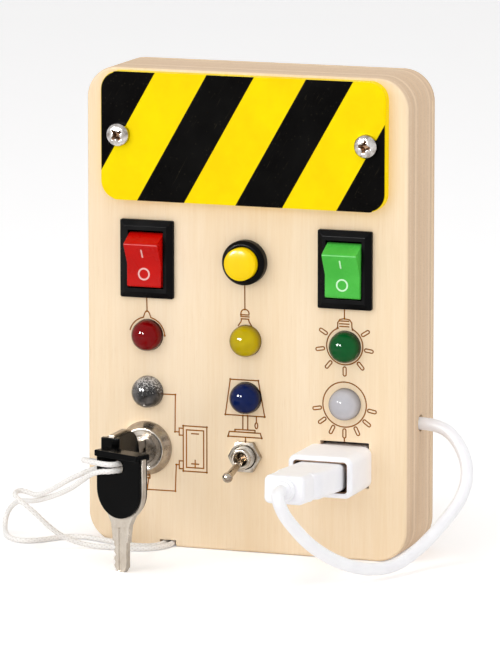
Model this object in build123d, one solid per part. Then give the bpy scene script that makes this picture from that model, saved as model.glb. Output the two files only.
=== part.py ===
from build123d import *
from math import cos, pi, radians, sin, tan
import os

# ---------------------------------------------------------------------------------------------
# A wooden busy board: a hollow plywood block that stands on its lower edge and carries rocker
# switches, a push button, indicator lamps, a toggle, a key switch and a USB socket.
# World frame, millimetres: X to the right, Y from the front to the back, Z up. The origin is the
# centre of the foot face.
# Panel frame, used for most pieces: u to the right, v up from the foot, w outwards from the
# front face of the panel, so w is positive in front of the wood and negative inside the block.
# ---------------------------------------------------------------------------------------------

# Board
board_width = 90.0
board_height = 129.0
board_depth = 23.0
board_corner = 8.5
panel_thickness = 3.0
back_thickness = 3.0
frame_wall = 8.0
cavity_corner = 4.0
corner_block_gap = 1.05
corner_block_height = 16.0
back_screw_inset = 5.0

# Clearances
running = 0.05
slip = 0.10
loose = 0.20

# Battery cover, a striped plate
plate_height = 34.4
plate_thickness = 3.0
plate_corner = 5.0
plate_centre_u = -0.2
plate_top_margin = 0.8
plate_screw_inset = 5.2
plate_screw_rise = 0.3
plate_screw_from_tray = 5.65

# Screws
screw_head_diameter = 6.3
screw_head_height = 2.2
screw_shank_diameter = 2.9
plate_screw_length = 10.0
screw_recess = 1.1
back_screw_length = 12.0
back_screw_head_diameter = 5.6
back_screw_head_height = 1.4
back_screw_sink = 1.6
screw_hole_overrun = 1.0
small_screw_head_diameter = 3.6
small_screw_head_height = 1.2
small_screw_shank_diameter = 1.8

# Batteries and their tray
battery_diameter = 10.5
battery_length = 44.5
battery_nub_diameter = 3.8
battery_nub_height = 1.0
tray_wall = 1.2
tray_end_room = 3.0
tray_lip = 2.0
tray_lip_thickness = 1.0
tray_corner = 1.0
tray_inner_corner = 0.8
contact_width = 7.8
contact_cone_foot = 3.3
contact_cone_tip = 1.5
contact_thickness = 0.4

# Columns and rows of the front: the outer columns' distance from the sides, and each row's share of
# the height between the foot and the battery cover
column_inset = 17.2
rocker_share = 0.8305
button_share = 0.8369
upper_lamp_share = 0.6109
lower_lamp_share = 0.4467
lock_share = 0.2836
toggle_share = 0.2782
socket_share = 0.2687

# Rocker switches
bezel_width = 15.0
bezel_height = 21.0
bezel_thickness = 2.0
bezel_corner = 0.5
bezel_slope_width = 1.6
bezel_slope_drop = 1.0
rocker_opening_width = 10.0
rocker_opening_height = 15.6
switch_body_width = 13.0
switch_body_height = 19.0
switch_body_depth = 11.0
switch_base = 1.6
rocker_side_gap = 0.2
rocker_tilt = 14.0
rocker_ridge_radius = 8.4
rocker_ridge_angle = 43.3
rocker_shoulder_radius = 7.5
rocker_shoulder_angle = 1.0
rocker_valley = 4.2
rocker_root_depth = 2.6
rocker_root_half = 3.0
rocker_pivot_depth = 1.0
rocker_pin_diameter = 2.0
rocker_pin_length = 1.1
rocker_round = 0.7
terminal_thickness = 0.8
terminal_width = 4.8
terminal_length = 6.0
terminal_spacing = 7.0
terminal_root_width = 3.8

# Push button
collar_diameter = 12.0
collar_height = 3.4
collar_barrel_diameter = 10.2
collar_barrel_length = 9.5
collar_base = 1.2
button_cap_diameter = 8.7
button_cap_height = 6.2
button_edge = 1.3
button_skirt = 1.6
button_stem_head = 0.9
button_stem_head_height = 0.9
collar_edge = 0.9
button_pin_offset = 3.4
button_pin_width = 2.0
button_pin_thickness = 0.6
button_pin_length = 4.0
button_stem_diameter = 2.6
button_nut_width = 12.0
nut_thickness = 2.0
spring_wire = 0.5
spring_diameter = 5.0
spring_turns = 4.0

# Indicator lamps
lamp_diameter = 8.4
lamp_flange_diameter = 9.6
lamp_flange_thickness = 1.0
lamp_dome_centre = 0.9
lamp_leg_width = 0.5
lamp_leg_spacing = 2.54
lamp_leg_tail = 0.8

# Circuit board behind the lamps
circuit_side_gap = 1.0
circuit_height = 27.0
circuit_thickness = 1.6
circuit_gap = 7.4
circuit_post_diameter = 4.0
circuit_post_offset = 14.0
circuit_screw_length = 5.0
circuit_post_bore = 4.5
circuit_edge_margin = 0.5
circuit_corner = 1.0
resistor_length = 6.0
resistor_diameter = 2.0
resistor_offset = 4.0

# Toggle switch
toggle_nut_width = 8.0
toggle_thread_diameter = 6.0
toggle_mouth = 4.9
toggle_mouth_diameter = 3.9
toggle_throat_diameter = 2.8
toggle_seat_length = 1.2
toggle_seat_diameter = 3.6
toggle_seat_taper = 0.2
toggle_tail_diameter = 1.6
toggle_pivot_diameter = 3.4
toggle_pivot_w = 1.5
toggle_lever_diameter = 2.0
toggle_tip_diameter = 2.8
toggle_lever_length = 13.6
toggle_tilt = 13.0
toggle_body_width = 8.0
toggle_body_height = 13.0
toggle_body_depth = 9.0
toggle_pin_spacing = 4.7
toggle_pin_width = 1.6
toggle_pin_thickness = 0.8
toggle_pin_length = 4.0
toggle_tail = 3.2
toggle_edge = 0.4
toggle_body_corner = 0.8
toggle_well = 4.0

# Key switch
lock_column_shift = 0.6
lock_bezel_diameter = 14.6
lock_face_diameter = 11.8
lock_bezel_height = 3.3
lock_bezel_rim = 0.6
lock_face_step = 0.8
lock_face_edge = 0.25
lock_barrel_diameter = 11.8
lock_barrel_length = 11.5
lock_nut_width = 14.0
lock_nut_thickness = 3.0
rotor_diameter = 6.9
rotor_recess = 0.3
lock_base_diameter = 10.0
lock_back_gap = 0.9
lock_pin_width = 2.8
lock_pin_thickness = 0.8
lock_pin_length = 2.6
lock_pin_spacing = 5.0

# Keys
key_thickness = 1.6
key_bow_width = 16.0
key_bow_length = 17.0
key_neck_width = 5.6
key_neck_length = 5.9
key_blade_width = 4.4
key_blade_length = 8.6
key_rim = 0.5
key_cap_pad = 0.9
key_flange_height = 1.7
key_flange_thickness = 5.2
key_flange_lap = 0.6
key_flange_round = 0.4
key_hole_diameter = 3.6
key_hole_from_end = 3.9
key_notches = ((1.6, 0.45), (3.6, 0.7), (5.6, 0.45))
key_notch_half = 0.7
key_tip_length = 2.0
key_tip_width = 1.4
key_tip_round = 0.6
key_shoulder_length = 1.4
key_neck_flare = 2.3
key_neck_waist = 0.22
key_neck_lap = 2.2
key_groove_width = 1.1
key_groove_depth = 0.35
key_groove_margin = 0.8
keyway_clearance = 0.12
key_shoulder_gap = 0.3
spare_key_place = (-22.5, -45.5)
spare_key_hole_z = 28.1
spare_key_turn = -22.0

# Socket and plug
socket_column_shift = 1.6
socket_width = 17.8
socket_height = 11.1
socket_reach = 16.2
socket_corner = 2.2
socket_edge = 0.9
socket_opening_corner = 1.0
socket_sleeve_setback = 0.5
socket_opening_width = 15.0
socket_opening_height = 8.4
socket_pocket_depth = 4.4
socket_shell_back = 0.6
socket_neck_width = 12.4
socket_neck_height = 10.8
socket_neck_offset = 0.4
socket_neck_reach = 6.0
panel_slot_width = 13.6
panel_slot_height = 12.2
panel_slot_shift = 1.4
panel_slot_rise = 0.45
shell_width = 13.1
shell_height = 5.7
shell_thickness = 0.3
tongue_thickness = 1.9
tongue_length = 9.0
tongue_root = 0.9
tongue_gap = 0.75
plug_shell_width = 12.0
plug_shell_height = 4.5
plug_shell_length = 11.0
plug_front_width = 12.6
plug_front_height = 7.2
plug_seat = 3.2
plug_seat_step = 0.1
plug_lean = 3.5
plug_lean_lap = 1.0
plug_grip_front = 18.2
plug_waist_width = 10.2
plug_waist_height = 6.9
plug_waist_setback = 3.2
plug_rear_width = 11.0
plug_rear_height = 7.5
plug_rear_length = 7.6
plug_grip_length = 30.2
plug_corner = 1.2
plug_rear_corner = 1.6
plug_edge = 0.8
plug_shell_floor = 1.5
plug_insert_thickness = 1.7
plug_insert_setback = 0.4
boss_diameter = 6.4
boss_step = 0.9
boss_tip_diameter = 4.9
boss_length = 2.0

# Cable and string
cable_diameter = 3.4
cable_hole_diameter = 4.6
cable_hole_z = 35.9
cable_first_run = 4.4
cable_rise = 0.05
cable_stop_diameter = 8.0
cable_stop_length = 4.0
string_diameter = 1.5
string_notch_x = -22.3
string_notch_width = 4.6
string_notch_height = 1.8
string_pocket_height = 3.6
string_bore_setback = 6.9
string_bore_slack = 0.4
string_knot_diameter = 5.4
string_knot_flat = 0.54

# ---------------------------------------------------------------------------------------------
# Derived places
# ---------------------------------------------------------------------------------------------
front_y = -board_depth / 2
frame_front = -panel_thickness
frame_back = -(board_depth - back_thickness)
mid_height = board_height / 2
cavity_width = board_width - 2 * frame_wall
cavity_height = board_height - 2 * frame_wall
panel_place = Plane(origin=(0, front_y, 0), x_dir=(1, 0, 0), z_dir=(0, -1, 0)).location
column_spacing = board_width / 2 - column_inset

tray_width = battery_length + battery_nub_height + 2 * tray_end_room + 2 * tray_wall
tray_height = 2 * battery_diameter + 3 * loose + 2 * tray_wall
tray_depth = battery_diameter + loose + tray_wall
tray_centre_v = board_height - frame_wall - loose - tray_height / 2
tray_lip_width = tray_width + 2 * tray_lip
corner_block_width = (cavity_width - tray_lip_width) / 2 - corner_block_gap
plate_screw_spacing = tray_lip_width + 2 * plate_screw_from_tray
plate_width = plate_screw_spacing + 2 * plate_screw_inset
plate_bottom = board_height - plate_top_margin - plate_height
plate_centre_v = plate_bottom + plate_height / 2
plate_screw_v = plate_centre_v + plate_screw_rise

rocker_row = rocker_share * plate_bottom
button_row = button_share * plate_bottom
upper_lamp_row = upper_lamp_share * plate_bottom
lower_lamp_row = lower_lamp_share * plate_bottom
toggle_v = toggle_share * plate_bottom
lock_u = -column_spacing - lock_column_shift
lock_v = lock_share * plate_bottom
lock_base_length = -frame_back - lock_barrel_length - lock_pin_length - lock_back_gap
socket_u = column_spacing - socket_column_shift
socket_v = socket_share * plate_bottom
panel_slot_u = socket_u + panel_slot_shift
panel_slot_v = socket_v + panel_slot_rise

rocker_places = {"red": -column_spacing, "green": column_spacing}
lamp_places = {
    "red": (-column_spacing, upper_lamp_row),
    "yellow": (0.0, upper_lamp_row),
    "green": (column_spacing, upper_lamp_row),
    "clear": (-column_spacing, lower_lamp_row),
    "blue": (0.0, lower_lamp_row),
    "grey": (column_spacing, lower_lamp_row),
}
circuit_v = (upper_lamp_row + lower_lamp_row) / 2
circuit_width = cavity_width - 2 * (cable_stop_length + circuit_side_gap)
circuit_post_rise = (circuit_height - circuit_post_diameter) / 2 - circuit_edge_margin
circuit_front = frame_front - circuit_gap
circuit_back = circuit_front - circuit_thickness
post_places = [
    (side * circuit_post_offset, circuit_v + level * circuit_post_rise)
    for side in (-1, 1)
    for level in (-1, 1)
]
plate_screw_places = [(plate_centre_u + side * plate_screw_spacing / 2, plate_screw_v) for side in (-1, 1)]
back_screw_places = [
    (side * (board_width / 2 - back_screw_inset), mid_height + level * (mid_height - back_screw_inset))
    for side in (-1, 1)
    for level in (-1, 1)
]
rotor_face = lock_bezel_height - rotor_recess
key_hole_y = key_flange_height - key_flange_lap - key_hole_from_end
key_length = key_bow_length + key_neck_length + key_blade_length
key_end_w = rotor_face + key_shoulder_gap + key_neck_length + key_bow_length
plug_face = socket_reach - plug_seat
plug_heel = plug_face + plug_seat / 2


# ---------------------------------------------------------------------------------------------
# Small helpers in the panel frame
# ---------------------------------------------------------------------------------------------
def block(width, height, low, high, u=0.0, v=0.0, corner=0.0):
    """A box or rounded box from depth low to depth high, centred on (u, v)."""
    outline = RectangleRounded(width, height, corner) if corner else Rectangle(width, height)
    return Pos(u, v, low) * extrude(outline, high - low)


def rod(diameter, low, high, u=0.0, v=0.0):
    """A round bar along w."""
    return Pos(u, v, low) * extrude(Circle(diameter / 2), high - low)


def hexagon(width, low, high, u=0.0, v=0.0):
    """A hexagonal bar with two flats level, measured across the flats."""
    outline = RegularPolygon(width / 2, 6, major_radius=False)
    return Pos(u, v, low) * extrude(outline, high - low)


def turned(profile, u=0.0, v=0.0):
    """A solid of revolution about w from (radius, w) points."""
    face = make_face(Plane.XZ * Polyline(*profile, close=True))
    return Pos(u, v, 0) * revolve(face, Axis.Z)


def cylinder_x(diameter, length, u, v, w):
    """A round bar along u, centred on its place."""
    return Pos(u, v, w) * Rot(0, 90, 0) * Cylinder(diameter / 2, length)


# ---------------------------------------------------------------------------------------------
# Wooden block
# ---------------------------------------------------------------------------------------------
def board_blank(low, high):
    return block(board_width, board_height, low, high, 0, mid_height, board_corner)


def string_way():
    """The low notch under the foot's front edge, the pocket behind it and the bore up to the cavity."""
    bore_size = string_diameter + string_bore_slack
    depth = string_bore_setback + bore_size / 2
    notch = block(string_notch_width, 2 * string_notch_height, -depth, 0, string_notch_x, 0)
    pocket = block(
        string_notch_width, 2 * string_pocket_height, -depth, frame_front, string_notch_x, 0
    )
    slot = RectangleRounded(string_notch_width, bore_size, string_diameter / 2)
    bore = Pos(string_notch_x, 0, -string_bore_setback) * Rot(-90, 0, 0) * extrude(slot, frame_wall)
    return notch + pocket + bore


def cable_way():
    """The hole through the right wall that the cable comes out of."""
    return cylinder_x(cable_hole_diameter, 3 * frame_wall, board_width / 2, cable_hole_z, front_y)


def front_panel():
    panel = board_blank(-panel_thickness, 0)
    panel -= block(
        tray_width + loose, tray_height + loose, -panel_thickness, 0, plate_centre_u, tray_centre_v
    )
    for u in rocker_places.values():
        panel -= block(
            switch_body_width + loose, switch_body_height + loose, -panel_thickness, 0, u, rocker_row
        )
    panel -= rod(collar_barrel_diameter + loose, -panel_thickness, 0, 0, button_row)
    for u, v in lamp_places.values():
        panel -= rod(lamp_diameter + loose, -panel_thickness, 0, u, v)
    panel -= rod(toggle_thread_diameter + loose, -panel_thickness, 0, 0, toggle_v)
    panel -= rod(lock_barrel_diameter + loose, -panel_thickness, 0, lock_u, lock_v)
    panel -= block(panel_slot_width, panel_slot_height, -panel_thickness, 0, panel_slot_u, panel_slot_v)
    for u, v in plate_screw_places:
        panel -= rod(screw_shank_diameter + slip, -panel_thickness, 0, u, v)
    return panel - string_way()


def body_frame():
    """The ring between the two panels, with a block in each upper corner for the cover's screws."""
    ring = board_blank(frame_back, frame_front)
    ring -= block(
        cavity_width, cavity_height, frame_back, frame_front, 0, mid_height, cavity_corner
    )
    block_v = board_height - frame_wall - corner_block_height / 2
    for side in (-1, 1):
        ring += block(
            corner_block_width, corner_block_height, frame_back, frame_front,
            side * (cavity_width - corner_block_width) / 2, block_v,
        )
    for u, v in plate_screw_places:
        low = plate_thickness - plate_screw_length - screw_hole_overrun
        ring -= rod(screw_shank_diameter + slip, low, frame_front, u, v)
    for u, v in back_screw_places:
        high = back_screw_sink + back_screw_length - board_depth + screw_hole_overrun
        ring -= rod(screw_shank_diameter + slip, frame_back, high, u, v)
    return ring - string_way() - cable_way()


def back_panel():
    panel = board_blank(-board_depth, frame_back)
    for u, v in back_screw_places:
        panel -= rod(screw_shank_diameter + slip, -board_depth, frame_back, u, v)
        panel -= rod(back_screw_head_diameter + slip, -board_depth, -board_depth + back_screw_sink, u, v)
    return panel


def cross_recess(depth, span):
    """The star-shaped recess of a cross-head screw, cut down from w = 0."""
    arm = block(span, span * 0.26, -depth, 0) + block(span * 0.26, span, -depth, 0)
    return arm


def pan_screw(head_diameter, head_height, shank_diameter, length):
    """A cross-head screw with its head's seat at w = 0 and the shank going inwards."""
    radius = head_diameter / 2
    dome = head_height * 0.55
    profile = [
        (0, -length), (shank_diameter * 0.2, -length), (shank_diameter / 2, -length + shank_diameter * 0.6),
        (shank_diameter / 2, 0), (radius, 0), (radius, head_height - dome),
        (radius * 0.86, head_height - dome * 0.45), (radius * 0.6, head_height - dome * 0.12),
        (0, head_height),
    ]
    return turned(profile) - Pos(0, 0, head_height) * cross_recess(screw_recess, head_diameter * 0.55)


def hazard_plate():
    plate = block(
        plate_width, plate_height, 0, plate_thickness, plate_centre_u, plate_centre_v, plate_corner
    )
    for u, v in plate_screw_places:
        plate -= rod(screw_shank_diameter + slip, 0, plate_thickness, u, v)
    return plate


def plate_screws():
    screw = pan_screw(screw_head_diameter, screw_head_height, screw_shank_diameter, plate_screw_length)
    return [Pos(u, v, plate_thickness) * screw for u, v in plate_screw_places]


def back_screws():
    screw = pan_screw(
        back_screw_head_diameter, back_screw_head_height, screw_shank_diameter, back_screw_length
    )
    return [Pos(u, v, -board_depth + back_screw_sink) * Rot(180, 0, 0) * screw for u, v in back_screw_places]


# ---------------------------------------------------------------------------------------------
# Batteries
# ---------------------------------------------------------------------------------------------
def battery_levels():
    step = battery_diameter / 2 + loose / 2
    return [tray_centre_v - step, tray_centre_v + step]


def battery_tray():
    """A tray that drops into the panel, open to the front, with a lip against the panel's back."""
    tray = block(tray_width, tray_height, -tray_depth, 0, plate_centre_u, tray_centre_v, tray_corner)
    tray += block(
        tray_lip_width, tray_height - 2 * tray_wall, -panel_thickness - tray_lip_thickness, -panel_thickness,
        plate_centre_u, tray_centre_v,
    )
    tray -= block(
        tray_width - 2 * tray_wall, tray_height - 2 * tray_wall, tray_wall - tray_depth, 0,
        plate_centre_u, tray_centre_v, tray_inner_corner,
    )
    return tray


def batteries():
    cells = []
    centre_w = -battery_diameter / 2 - loose / 2
    for direction, v in zip((-1, 1), battery_levels()):
        can = cylinder_x(battery_diameter, battery_length, plate_centre_u, v, centre_w)
        nub_u = plate_centre_u + direction * (battery_length + battery_nub_height) / 2
        nub = cylinder_x(battery_nub_diameter, battery_nub_height, nub_u, v, centre_w)
        cells.append(can + nub)
    return cells


def battery_contacts():
    """A plate with a cone spring at each cell's flat end and a plain plate at its nub end."""
    pieces = []
    centre_w = -battery_diameter / 2 - loose / 2
    wall = tray_width / 2 - tray_wall
    for direction, v in zip((-1, 1), battery_levels()):
        nub_end = direction * (battery_length / 2 + battery_nub_height)
        for side, tip in ((direction, nub_end), (-direction, -direction * battery_length / 2)):
            plate_u = plate_centre_u + side * (wall - contact_thickness / 2)
            plate = Pos(plate_u, v, centre_w) * Box(contact_thickness, contact_width, contact_width)
            length = abs(side * (wall - contact_thickness) - tip)
            cone = Cone(contact_cone_foot, contact_cone_tip, length)
            place = Pos(plate_u - side * (contact_thickness + length) / 2, v, centre_w)
            pieces.append(plate + place * Rot(0, -90 * side, 0) * cone)
    return pieces


# ---------------------------------------------------------------------------------------------
# Rocker switches
# ---------------------------------------------------------------------------------------------
def rocker_pocket(u):
    depth = switch_body_depth - switch_base
    return block(rocker_opening_width, rocker_opening_height, -depth, bezel_thickness, u, rocker_row)


def rocker_housing(u):
    slope_foot = Pos(u, rocker_row, bezel_thickness - bezel_slope_drop) * Rectangle(bezel_width, bezel_height)
    slope_top = Pos(u, rocker_row, bezel_thickness) * Rectangle(
        bezel_width - 2 * bezel_slope_width, bezel_height - 2 * bezel_slope_width
    )
    sloped = loft([slope_foot.face(), slope_top.face()])
    sloped += block(bezel_width, bezel_height, 0, bezel_thickness - bezel_slope_drop, u, rocker_row)
    bezel = sloped & block(bezel_width, bezel_height, 0, bezel_thickness, u, rocker_row, bezel_corner)
    body = block(switch_body_width, switch_body_height, -switch_body_depth, 0, u, rocker_row)
    housing = bezel + body - rocker_pocket(u)
    housing -= cylinder_x(
        rocker_pin_diameter + 2 * running, rocker_opening_width + 2 * rocker_pin_length + loose,
        u, rocker_row, -rocker_pivot_depth,
    )
    for level in (-1, 1):
        housing -= block(
            terminal_root_width + loose, terminal_thickness + 2 * running, -switch_body_depth,
            -switch_body_depth + switch_base, u, rocker_row + level * terminal_spacing / 2,
        )
    return housing


def rocker_terminals(u):
    """Two blades with a narrower root that passes through the switch's base."""
    blades = []
    for level in (-1, 1):
        v = rocker_row + level * terminal_spacing / 2
        blade = block(
            terminal_width, terminal_thickness, -switch_body_depth - terminal_length, -switch_body_depth, u, v
        )
        root = block(
            terminal_root_width, terminal_thickness, -switch_body_depth, -switch_body_depth + switch_base,
            u, v,
        )
        blades.append(blade + root)
    return blades


def rocker_profile():
    """Half of the neutral side profile, as (height, reach in front of the pivot) points."""
    ridge = radians(rocker_ridge_angle)
    shoulder = radians(rocker_shoulder_angle)
    return [
        (rocker_ridge_radius * cos(ridge), rocker_ridge_radius * sin(ridge)),
        (rocker_shoulder_radius * cos(shoulder), rocker_shoulder_radius * sin(shoulder)),
        (rocker_root_half, -rocker_root_depth),
    ]


def rocker(u):
    """A shallow V-faced rocker on two stub pins, tilted so that its upper half stands out."""
    half = rocker_profile()
    points = [(0, rocker_valley)] + half + [(-v, w) for v, w in reversed(half)]
    width = rocker_opening_width - 2 * rocker_side_gap
    side_face = make_face(Plane.YZ * Polyline(*points, close=True))
    body = Pos(-width / 2, 0, 0) * extrude(side_face, width, dir=(1, 0, 0))
    ridges = body.edges().filter_by(Axis.X).group_by(Axis.Z)[-1]
    body = fillet(ridges, rocker_round)
    pins = Rot(0, 90, 0) * Cylinder(rocker_pin_diameter / 2, rocker_opening_width + 2 * rocker_pin_length)
    return Pos(u, rocker_row, -rocker_pivot_depth) * Rot(rocker_tilt, 0, 0) * (body + pins)


# ---------------------------------------------------------------------------------------------
# Push button
# ---------------------------------------------------------------------------------------------
def button_collar():
    outer = collar_diameter / 2
    barrel = collar_barrel_diameter / 2
    bore = button_cap_diameter / 2 + slip
    stem = button_stem_diameter / 2 + slip
    floor = -collar_barrel_length + collar_base
    profile = [
        (bore, collar_height), (outer - collar_edge, collar_height), (outer, collar_height - collar_edge),
        (outer, 0),
        (barrel, 0), (barrel, -collar_barrel_length), (stem, -collar_barrel_length), (stem, floor),
        (bore, floor),
    ]
    return turned(profile, 0, button_row)


def button_nut():
    nut = hexagon(button_nut_width, -panel_thickness - nut_thickness, -panel_thickness, 0, button_row)
    return nut - rod(
        collar_barrel_diameter + 2 * running, -panel_thickness - nut_thickness, -panel_thickness,
        0, button_row,
    )


def button_cap():
    """A domed cap on a stem with a head behind the collar's floor that stops it coming out."""
    radius = button_cap_diameter / 2
    stem = button_stem_diameter / 2
    head = stem + button_stem_head
    head_front = -collar_barrel_length - slip
    head_back = head_front - button_stem_head_height
    profile = [
        (0, button_cap_height), (radius * 0.55, button_cap_height - button_edge * 0.08),
        (radius * 0.86, button_cap_height - button_edge * 0.4), (radius, button_cap_height - button_edge),
        (radius, -button_skirt), (stem, -button_skirt), (stem, head_front), (head, head_front),
        (head, head_back), (0, head_back),
    ]
    return turned(profile, 0, button_row)


def button_spring():
    """A coil between the collar's floor and the underside of the cap."""
    floor = -collar_barrel_length + collar_base + slip + spring_wire / 2
    height = -button_skirt - slip - spring_wire / 2 - floor
    path = Helix(height / spring_turns, height, spring_diameter / 2)
    section = Plane(origin=path @ 0, z_dir=path % 0) * Circle(spring_wire / 2)
    return Pos(0, button_row, floor) * sweep(section, path=path, is_frenet=True)


def button_terminals():
    back = -collar_barrel_length
    return [
        block(
            button_pin_thickness, button_pin_width, back - button_pin_length, back,
            side * button_pin_offset, button_row,
        )
        for side in (-1, 1)
    ]


# ---------------------------------------------------------------------------------------------
# Lamps and their circuit board
# ---------------------------------------------------------------------------------------------
def lamp(u, v):
    """A round lamp body with a hemispherical front and a flange behind the panel."""
    radius = lamp_diameter / 2
    steps = 6
    dome = [
        (radius * cos(pi / 2 * i / steps), lamp_dome_centre + radius * sin(pi / 2 * i / steps))
        for i in range(steps + 1)
    ]
    flange = lamp_flange_diameter / 2
    base = frame_front - lamp_flange_thickness
    arc = ThreePointArc(dome[0], dome[steps // 2], dome[steps])
    lines = Polyline(
        dome[-1], (0, base), (flange, base), (flange, frame_front), (radius, frame_front), dome[0]
    )
    face = make_face(Plane.XZ * (arc + lines))
    return Pos(u, v, 0) * revolve(face, Axis.Z)


def lamp_legs():
    """Two wires under each lamp, through the circuit board."""
    legs = []
    top = frame_front - lamp_flange_thickness
    for u, v in lamp_places.values():
        for side in (-1, 1):
            place_u = u + side * lamp_leg_spacing / 2
            legs.append(block(lamp_leg_width, lamp_leg_width, circuit_back - lamp_leg_tail, top, place_u, v))
    return legs


def circuit_board():
    board = block(
        circuit_width, circuit_height, circuit_back, circuit_front, 0, circuit_v, circuit_corner
    )
    for u, v in post_places:
        board -= rod(small_screw_shank_diameter + slip, circuit_back, circuit_front, u, v)
    for u, v in lamp_places.values():
        for side in (-1, 1):
            place_u = u + side * lamp_leg_spacing / 2
            board -= block(
                lamp_leg_width + slip, lamp_leg_width + slip, circuit_back, circuit_front, place_u, v
            )
    return board


def circuit_posts():
    posts = []
    for u, v in post_places:
        post = rod(circuit_post_diameter, circuit_front, frame_front, u, v)
        bore_top = circuit_front + circuit_post_bore
        posts.append(post - rod(small_screw_shank_diameter + slip, circuit_front, bore_top, u, v))
    return posts


def circuit_screws():
    screw = pan_screw(
        small_screw_head_diameter, small_screw_head_height, small_screw_shank_diameter, circuit_screw_length
    )
    return [Pos(u, v, circuit_back) * Rot(180, 0, 0) * screw for u, v in post_places]


def resistors():
    """One series resistor beside each lamp, lying on the back of the circuit board."""
    bodies = []
    for u, v in lamp_places.values():
        bodies.append(
            Pos(u, v + resistor_offset, circuit_back - resistor_diameter / 2)
            * Rot(0, 90, 0) * Cylinder(resistor_diameter / 2, resistor_length)
        )
    return bodies


# ---------------------------------------------------------------------------------------------
# Toggle switch
# ---------------------------------------------------------------------------------------------
def toggle_bushing():
    """A threaded tube with a flared mouth and a round seat for the lever's pivot ball."""
    outer = toggle_thread_diameter / 2
    mouth = toggle_mouth_diameter / 2
    throat = toggle_throat_diameter / 2
    seat = toggle_seat_diameter / 2
    throat_w = toggle_pivot_w + toggle_seat_length
    profile = [
        (mouth, toggle_mouth), (outer - toggle_edge, toggle_mouth), (outer, toggle_mouth - toggle_edge),
        (outer, frame_front), (seat, frame_front), (seat, throat_w - toggle_seat_taper), (throat, throat_w),
    ]
    return turned(profile, 0, toggle_v)


def toggle_nut():
    nut = hexagon(toggle_nut_width, 0, nut_thickness, 0, toggle_v)
    return nut - rod(toggle_thread_diameter + 2 * running, 0, nut_thickness, 0, toggle_v)


def toggle_body():
    back = frame_front - toggle_body_depth
    body = block(toggle_body_width, toggle_body_height, back, frame_front, 0, toggle_v, toggle_body_corner)
    return body - rod(toggle_seat_diameter, frame_front - toggle_well, frame_front, 0, toggle_v)


def toggle_lever():
    """A steel lever on a pivot ball, pushed down to its lower stop."""
    shaft = rod(toggle_lever_diameter, 0, toggle_lever_length)
    tail = rod(toggle_tail_diameter, -toggle_tail, 0)
    tip = Pos(0, 0, toggle_lever_length) * Sphere(toggle_tip_diameter / 2)
    lever = shaft + tail + tip + Sphere(toggle_pivot_diameter / 2)
    return Pos(0, toggle_v, toggle_pivot_w) * Rot(toggle_tilt, 0, 0) * lever


def toggle_terminals():
    back = frame_front - toggle_body_depth
    levels = (-toggle_pin_spacing, 0, toggle_pin_spacing)
    return [
        block(toggle_pin_width, toggle_pin_thickness, back - toggle_pin_length, back, 0, toggle_v + level)
        for level in levels
    ]


# ---------------------------------------------------------------------------------------------
# Key switch and keys
# ---------------------------------------------------------------------------------------------
def lock_housing():
    """A cone-shaped bezel with a flat face, on a threaded barrel bored for the rotor."""
    bore = rotor_diameter / 2 + running
    bezel = lock_bezel_diameter / 2
    face = lock_face_diameter / 2
    barrel = lock_barrel_diameter / 2
    profile = [
        (bore, lock_bezel_height), (face - lock_face_edge, lock_bezel_height),
        (face, lock_bezel_height - lock_face_edge), (face, lock_bezel_height - lock_face_step),
        (bezel, lock_bezel_rim), (bezel, 0), (barrel, 0),
        (barrel, -lock_barrel_length), (bore, -lock_barrel_length),
    ]
    return turned(profile, lock_u, lock_v)


def lock_nut():
    low = -panel_thickness - lock_nut_thickness
    nut = hexagon(lock_nut_width, low, -panel_thickness, lock_u, lock_v)
    return nut - rod(lock_barrel_diameter + 2 * running, low, -panel_thickness, lock_u, lock_v)


def lock_rotor():
    """The turning core with a keyway that stands upright in the off position."""
    core = rod(rotor_diameter, -lock_barrel_length + loose, rotor_face, lock_u, lock_v)
    depth = key_blade_length + key_shoulder_gap + loose
    return core - block(
        key_thickness + 2 * keyway_clearance, key_blade_width + 2 * keyway_clearance,
        rotor_face - depth, rotor_face, lock_u, lock_v,
    )


def lock_base():
    back = -lock_barrel_length - lock_base_length
    return rod(lock_base_diameter, back, -lock_barrel_length, lock_u, lock_v)


def lock_terminals():
    back = -lock_barrel_length - lock_base_length
    return [
        block(
            lock_pin_thickness, lock_pin_width, back - lock_pin_length, back,
            lock_u + side * lock_pin_spacing / 2, lock_v,
        )
        for side in (-1, 1)
    ]


def key_outline(inset=0.0):
    """The bow as a flat face in the key's own frame: the blade runs down from the bow's end at y = 0."""
    half = key_bow_width / 2 - inset
    centre = -(key_bow_length - key_bow_width / 2)
    top = -inset
    return make_face(
        Line((-half, centre), (-half, top))
        + Line((-half, top), (half, top))
        + Line((half, top), (half, centre))
        + ThreePointArc((half, centre), (0, centre - half), (-half, centre))
    )


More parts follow.
